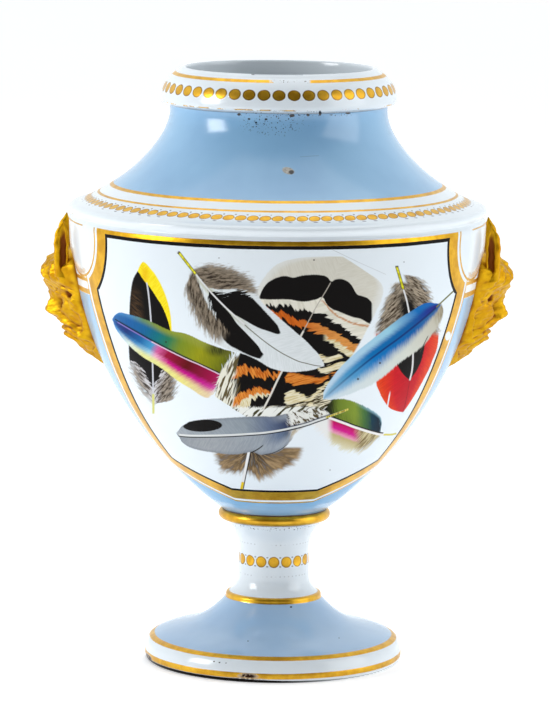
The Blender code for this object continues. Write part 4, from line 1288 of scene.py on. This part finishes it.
def mask_mesh(name, sign, material):
    rows, cols = 212, 134
    zs = np.linspace(MASK_Z[0], MASK_Z[-1], rows)
    ts = np.linspace(-1.0, 1.0, cols)
    Z, T = np.meshgrid(zs, ts, indexing='ij')
    Y = T * ease(Z, MASK_Z, MASK_W)
    R = np.interp(Z, _ZS, _RS)
    wall = np.sqrt(R * R - Y * Y)
    wide = 1.0 if sign > 0 else 1.22
    H = blur(mask_height(Y, Z, wide), 2)
    edge = np.zeros_like(H, bool)
    edge[0, :] = edge[-1, :] = edge[:, 0] = edge[:, -1] = True
    X = wall + np.where(edge, -0.35, H)
    X = np.minimum(X, 67.15)
    # painted shade: how far the relief lies below its surroundings, made darkest at the eye's pupil, beside the nose
    # and at the mouth's corners; the gilt is darkened by it
    hollow = np.clip((blur(H, 8) - H) / 0.8, -1, 1)
    for cy, cz, ry, rz, dark in ((7.0, 105.6, 0.62, 0.8, 1.6), (3.1, 102.5, 1.0, 1.2, 0.9), (3.8, 95.6, 1.0, 0.6, 0.8)):
        hollow = np.maximum(hollow, dark * np.exp(-((np.abs(Y) / wide - cy) / ry) ** 2 - ((Z - cz) / rz) ** 2))
    verts, attr, faces, uvs = [], [], [], []

    def add_grid(xs, ys, zs_, attr_, flip, u0, u1, v0, v1, loop=False):
        base = len(verts)
        n, m = xs.shape
        verts.extend(zip(xs.ravel(), ys.ravel(), zs_.ravel()))
        attr.extend(attr_.ravel())
        for i in range(n - 1):
            for j in range(m if loop else m - 1):
                k = (j + 1) % m
                quad = [base + i * m + j, base + i * m + k, base + (i + 1) * m + k, base + (i + 1) * m + j]
                st = [(u0 + (u1 - u0) * a / (m if loop else m - 1), v0 + (v1 - v0) * b / (n - 1))
                      for a, b in ((j, i), (j + 1, i), (j + 1, i + 1), (j, i + 1))]
                if flip:
                    quad.reverse()
                    st.reverse()
                faces.append(quad)
                uvs.extend(st)
        return base

    front = add_grid(X, Y, Z, hollow, False, 0.005, 0.66, 0.005, 0.995)
    # the back, against the wall, is given full painted shade
    back = add_grid(wall - 1.5, Y, Z, np.ones_like(H), True, 0.67, 0.74, 0.005, 0.995)
    ring = ([(0, j) for j in range(cols)] + [(i, cols - 1) for i in range(1, rows)]
            + [(rows - 1, j) for j in range(cols - 2, -1, -1)] + [(i, 0) for i in range(rows - 2, 0, -1)])
    for (i0, j0), (i1, j1) in zip(ring, ring[1:] + ring[:1]):
        a, b = i0 * cols + j0, i1 * cols + j1
        faces.append([front + a, back + a, back + b, front + b])
        uvs.extend([(0.75, 0.0), (0.755, 0.0), (0.755, 0.004), (0.75, 0.004)])

    # pointed ears, hollowed on the side away from the face
    n_ring, n_up = 56, 54
    th = np.linspace(0, TAU, n_ring, endpoint=False)
    for e, side in enumerate((1, -1)):
        up = np.linspace(0, 1, n_up)[:, None]
        z = 110.6 + 16.1 * up
        half = np.interp(up, [0, 0.12, 0.34, 0.58, 0.76, 0.86, 0.93, 0.97, 1.0], [1.9, 2.0, 2.2, 2.15, 1.85, 1.35, 0.75, 0.38, 0.1])
        thick = np.interp(up, [0, 0.15, 0.6, 0.9, 1.0], [1.2, 1.05, 0.85, 0.5, 0.12])
        dish = np.interp(up, [0, 0.10, 0.20, 0.45, 0.70, 0.88, 1.0], [0.0, 0.25, 1.05, 1.2, 0.8, 0.2, 0.0])
        cx = np.interp(up, [0, 0.25, 0.6, 0.85, 1.0], [60.7, 60.9, 60.9, 60.8, 60.4])
        cy = 10.2 + 1.1 * up + 0.25 * np.sin(up * 5.0)
        c, s = np.cos(th)[None, :], np.sin(th)[None, :]
        inward = np.clip(1 - ((c + 0.22) / 0.50) ** 2, 0, 1) ** 0.8
        x = cx + half * c * (1 + 0.05 * np.sin(9 * up + 1.0)) + 0.07 * np.sin(up * 31 + c * 2)
        y = cy + thick * s - np.where(s > 0, dish * inward, 0.0) + 0.05 * np.sin(up * 23 + th[None, :] * 2)
        zz = np.broadcast_to(z, x.shape) + 0.30 * c * (1 - up)
        # painted shade inside the ear's hollowed side
        dark = np.where(s > 0, np.clip(dish * inward * (0.75 - 0.35 * c), 0, 1.0), 0.0) + 0.0 * x
        flip = side < 0
        b = add_grid(x, y * side, zz, dark, not flip, 0.78, 0.98, 0.01 + 0.5 * e, 0.48 + 0.5 * e, loop=True)
        top, bottom = len(verts), len(verts) + 1
        verts.append((float(x[-1].mean()), float(y[-1].mean()) * side, float(z[-1, 0]) + 0.12))
        verts.append((float(x[0].mean()), float(y[0].mean()) * side, float(z[0, 0]) - 0.1))
        # the ear's tip gets no painted shade, its lower end full painted shade
        attr.extend((0.0, 1.0))
        last = b + (n_up - 1) * n_ring
        for j in range(n_ring):
            k = (j + 1) % n_ring
            up_tri, low_tri = [last + j, last + k, top], [b + k, b + j, bottom]
            if not flip:
                up_tri.reverse()
                low_tri.reverse()
            faces.append(up_tri)
            faces.append(low_tri)
            uvs.extend([(0.985, 0.5)] * 3 + [(0.985, 0.51)] * 3)

    verts_m = [(x * sign * MM, y * sign * MM, z * MM) for x, y, z in verts]
    mesh = bpy.data.meshes.new(name)
    mesh.from_pydata(verts_m, [], faces)
    mesh.materials.append(material)
    mesh.attributes.new('hollow', 'FLOAT', 'POINT').data.foreach_set('value', np.array(attr, np.float32))
    uv = mesh.uv_layers.new(name="OFBake")
    uv.data.foreach_set('uv', np.array(uvs, np.float32).ravel())
    mesh.shade_smooth()
    bm = bmesh.new()
    bm.from_mesh(mesh)
    bmesh.ops.recalc_face_normals(bm, faces=bm.faces)
    bm.to_mesh(mesh)
    bm.free()
    obj = bpy.data.objects.new(name, mesh)
    bpy.context.scene.collection.objects.link(obj)
    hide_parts("mantel_urn")
    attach(obj, "root")
    return obj


def mask_material():
    g = Graph("gilt_masks")
    hollow = g.attribute('hollow')
    mottle = g.noise(260.0, 3.0, 0.6)
    broad = g.noise(110.0, 2.0, 0.5)
    col = g.mix(g.step(mottle, 0.30, 0.70), srgb(188, 134, 8), srgb(218, 170, 22))
    col = g.mix(g.step(broad, 0.45, 0.75) * 0.6, col, srgb(196, 132, 12))
    # painted shade: deep brown in the hollows of the masks, with less metal there
    recess_shade = g.step(g.mad(mottle, 0.4, hollow), 0.24, 0.78)
    col = g.mix(recess_shade * 0.95, col, srgb(112, 48, 6))
    # painted highlight: pale yellow on the raised parts of the relief
    raised_highlight = g.step(g.mad(mottle, 0.5, g.max(-hollow, 0.0)), 0.70, 1.1)
    col = g.mix(raised_highlight * 0.45, col, srgb(250, 226, 120))
    metal = g.mad(recess_shade, -0.35, 0.75)
    rough = g.mad(mottle, 0.25, 0.27)
    return g.surface(col, metal, rough, bump=g.mad(mottle, 0.5, g.noise(900.0, 2.0) * 0.5), strength=0.35,
                     distance=0.00025, Specular_IOR_Level=0.12)


gilt = mask_material()
mask_mesh("mask_right", 1, gilt)
mask_mesh("mask_left", -1, gilt)


# ---- floor, light and camera ---------------------------------------------
def floor():
    mesh = bpy.data.meshes.new("floor")
    bm = bmesh.new()
    n, half = 24, 3.0
    grid = [[bm.verts.new((-half + 2 * half * i / n, -half + 2 * half * j / n, 0.0)) for i in range(n + 1)]
            for j in range(n + 1)]
    for j in range(n):
        for i in range(n):
            bm.faces.new((grid[j][i], grid[j][i + 1], grid[j + 1][i + 1], grid[j + 1][i]))
    bm.to_mesh(mesh)
    bm.free()
    g = Graph("pale_floor")
    col = g.mix(g.noise(4.0, 3.0), (0.90, 0.90, 0.91), (0.93, 0.93, 0.935))
    mesh.materials.append(g.surface(col, 0.0, 0.65, Emission_Color=(1.0, 1.0, 1.0, 1.0), Emission_Strength=0.35))
    obj = bpy.data.objects.new("floor", mesh)
    bpy.context.scene.collection.objects.link(obj)


def world():
    w = bpy.data.worlds.new("studio")
    bpy.context.scene.world = w
    w.use_nodes = True
    nt = w.node_tree
    nt.nodes.clear()
    out = nt.nodes.new('ShaderNodeOutputWorld')
    tc = nt.nodes.new('ShaderNodeTexCoord')
    sep = nt.nodes.new('ShaderNodeSeparateXYZ')
    nt.links.new(tc.outputs['Generated'], sep.inputs[0])
    # darker room in front of the urn, towards -Y, bright behind it and at the sides
    ramp = nt.nodes.new('ShaderNodeMapRange')
    ramp.interpolation_type = 'SMOOTHSTEP'
    for i, v in enumerate((None, -0.70, 0.35, 0.04, 1.10)):
        if v is not None:
            ramp.inputs[i].default_value = v
    nt.links.new(sep.outputs[1], ramp.inputs[0])
    lit = nt.nodes.new('ShaderNodeBackground')
    lit.inputs['Color'].default_value = (0.93, 0.97, 1.0, 1.0)
    nt.links.new(ramp.outputs[0], lit.inputs['Strength'])
    seen = nt.nodes.new('ShaderNodeBackground')
    seen.inputs['Color'].default_value = (1.0, 1.0, 1.0, 1.0)
    seen.inputs['Strength'].default_value = 1.0
    lp = nt.nodes.new('ShaderNodeLightPath')
    mix = nt.nodes.new('ShaderNodeMixShader')
    nt.links.new(lp.outputs['Is Camera Ray'], mix.inputs[0])
    nt.links.new(lit.outputs[0], mix.inputs[1])
    nt.links.new(seen.outputs[0], mix.inputs[2])
    nt.links.new(mix.outputs[0], out.inputs[0])


def area(name, at, to, size, power, colour=(1, 1, 1)):
    light = bpy.data.lights.new(name, 'AREA')
    light.shape = 'RECTANGLE'
    light.size, light.size_y = size
    light.energy = power
    light.color = colour
    obj = bpy.data.objects.new(name, light)
    obj.location = at
    obj.rotation_euler = (Vector(to) - Vector(at)).to_track_quat('-Z', 'Y').to_euler()
    bpy.context.scene.collection.objects.link(obj)
    return obj


def camera():
    cam = bpy.data.cameras.new("camera")
    cam.sensor_width = 36.0
    cam.sensor_fit = 'AUTO'
    cam.lens = 4462.1 / 712 * 36.0
    cam.clip_start, cam.clip_end = 0.05, 50.0
    obj = bpy.data.objects.new("camera", cam)
    bpy.context.scene.collection.objects.link(obj)
    pitch, roll = 0.1424, 0.0112
    turn = Matrix.Rotation(math.pi / 2 - pitch, 4, 'X') @ Matrix.Rotation(roll, 4, 'Z')
    obj.matrix_world = Matrix.Translation((-0.0003, -1.2608, 0.26818)) @ turn
    bpy.context.scene.camera = obj


floor()
world()
area("window_left", (-1.0, -0.38, 0.42), (0, 0, 0.11), (0.4, 0.5), 5.2, (0.98, 0.99, 1.0))
area("window_right", (1.0, -0.32, 0.40), (0, 0, 0.11), (0.8, 0.9), 4.2, (0.96, 0.98, 1.0))
area("overhead", (0.0, 0.1, 1.1), (0, 0, 0.0), (1.0, 1.0), 2.4)
camera()
bpy.context.scene.view_settings.view_transform = 'Standard'
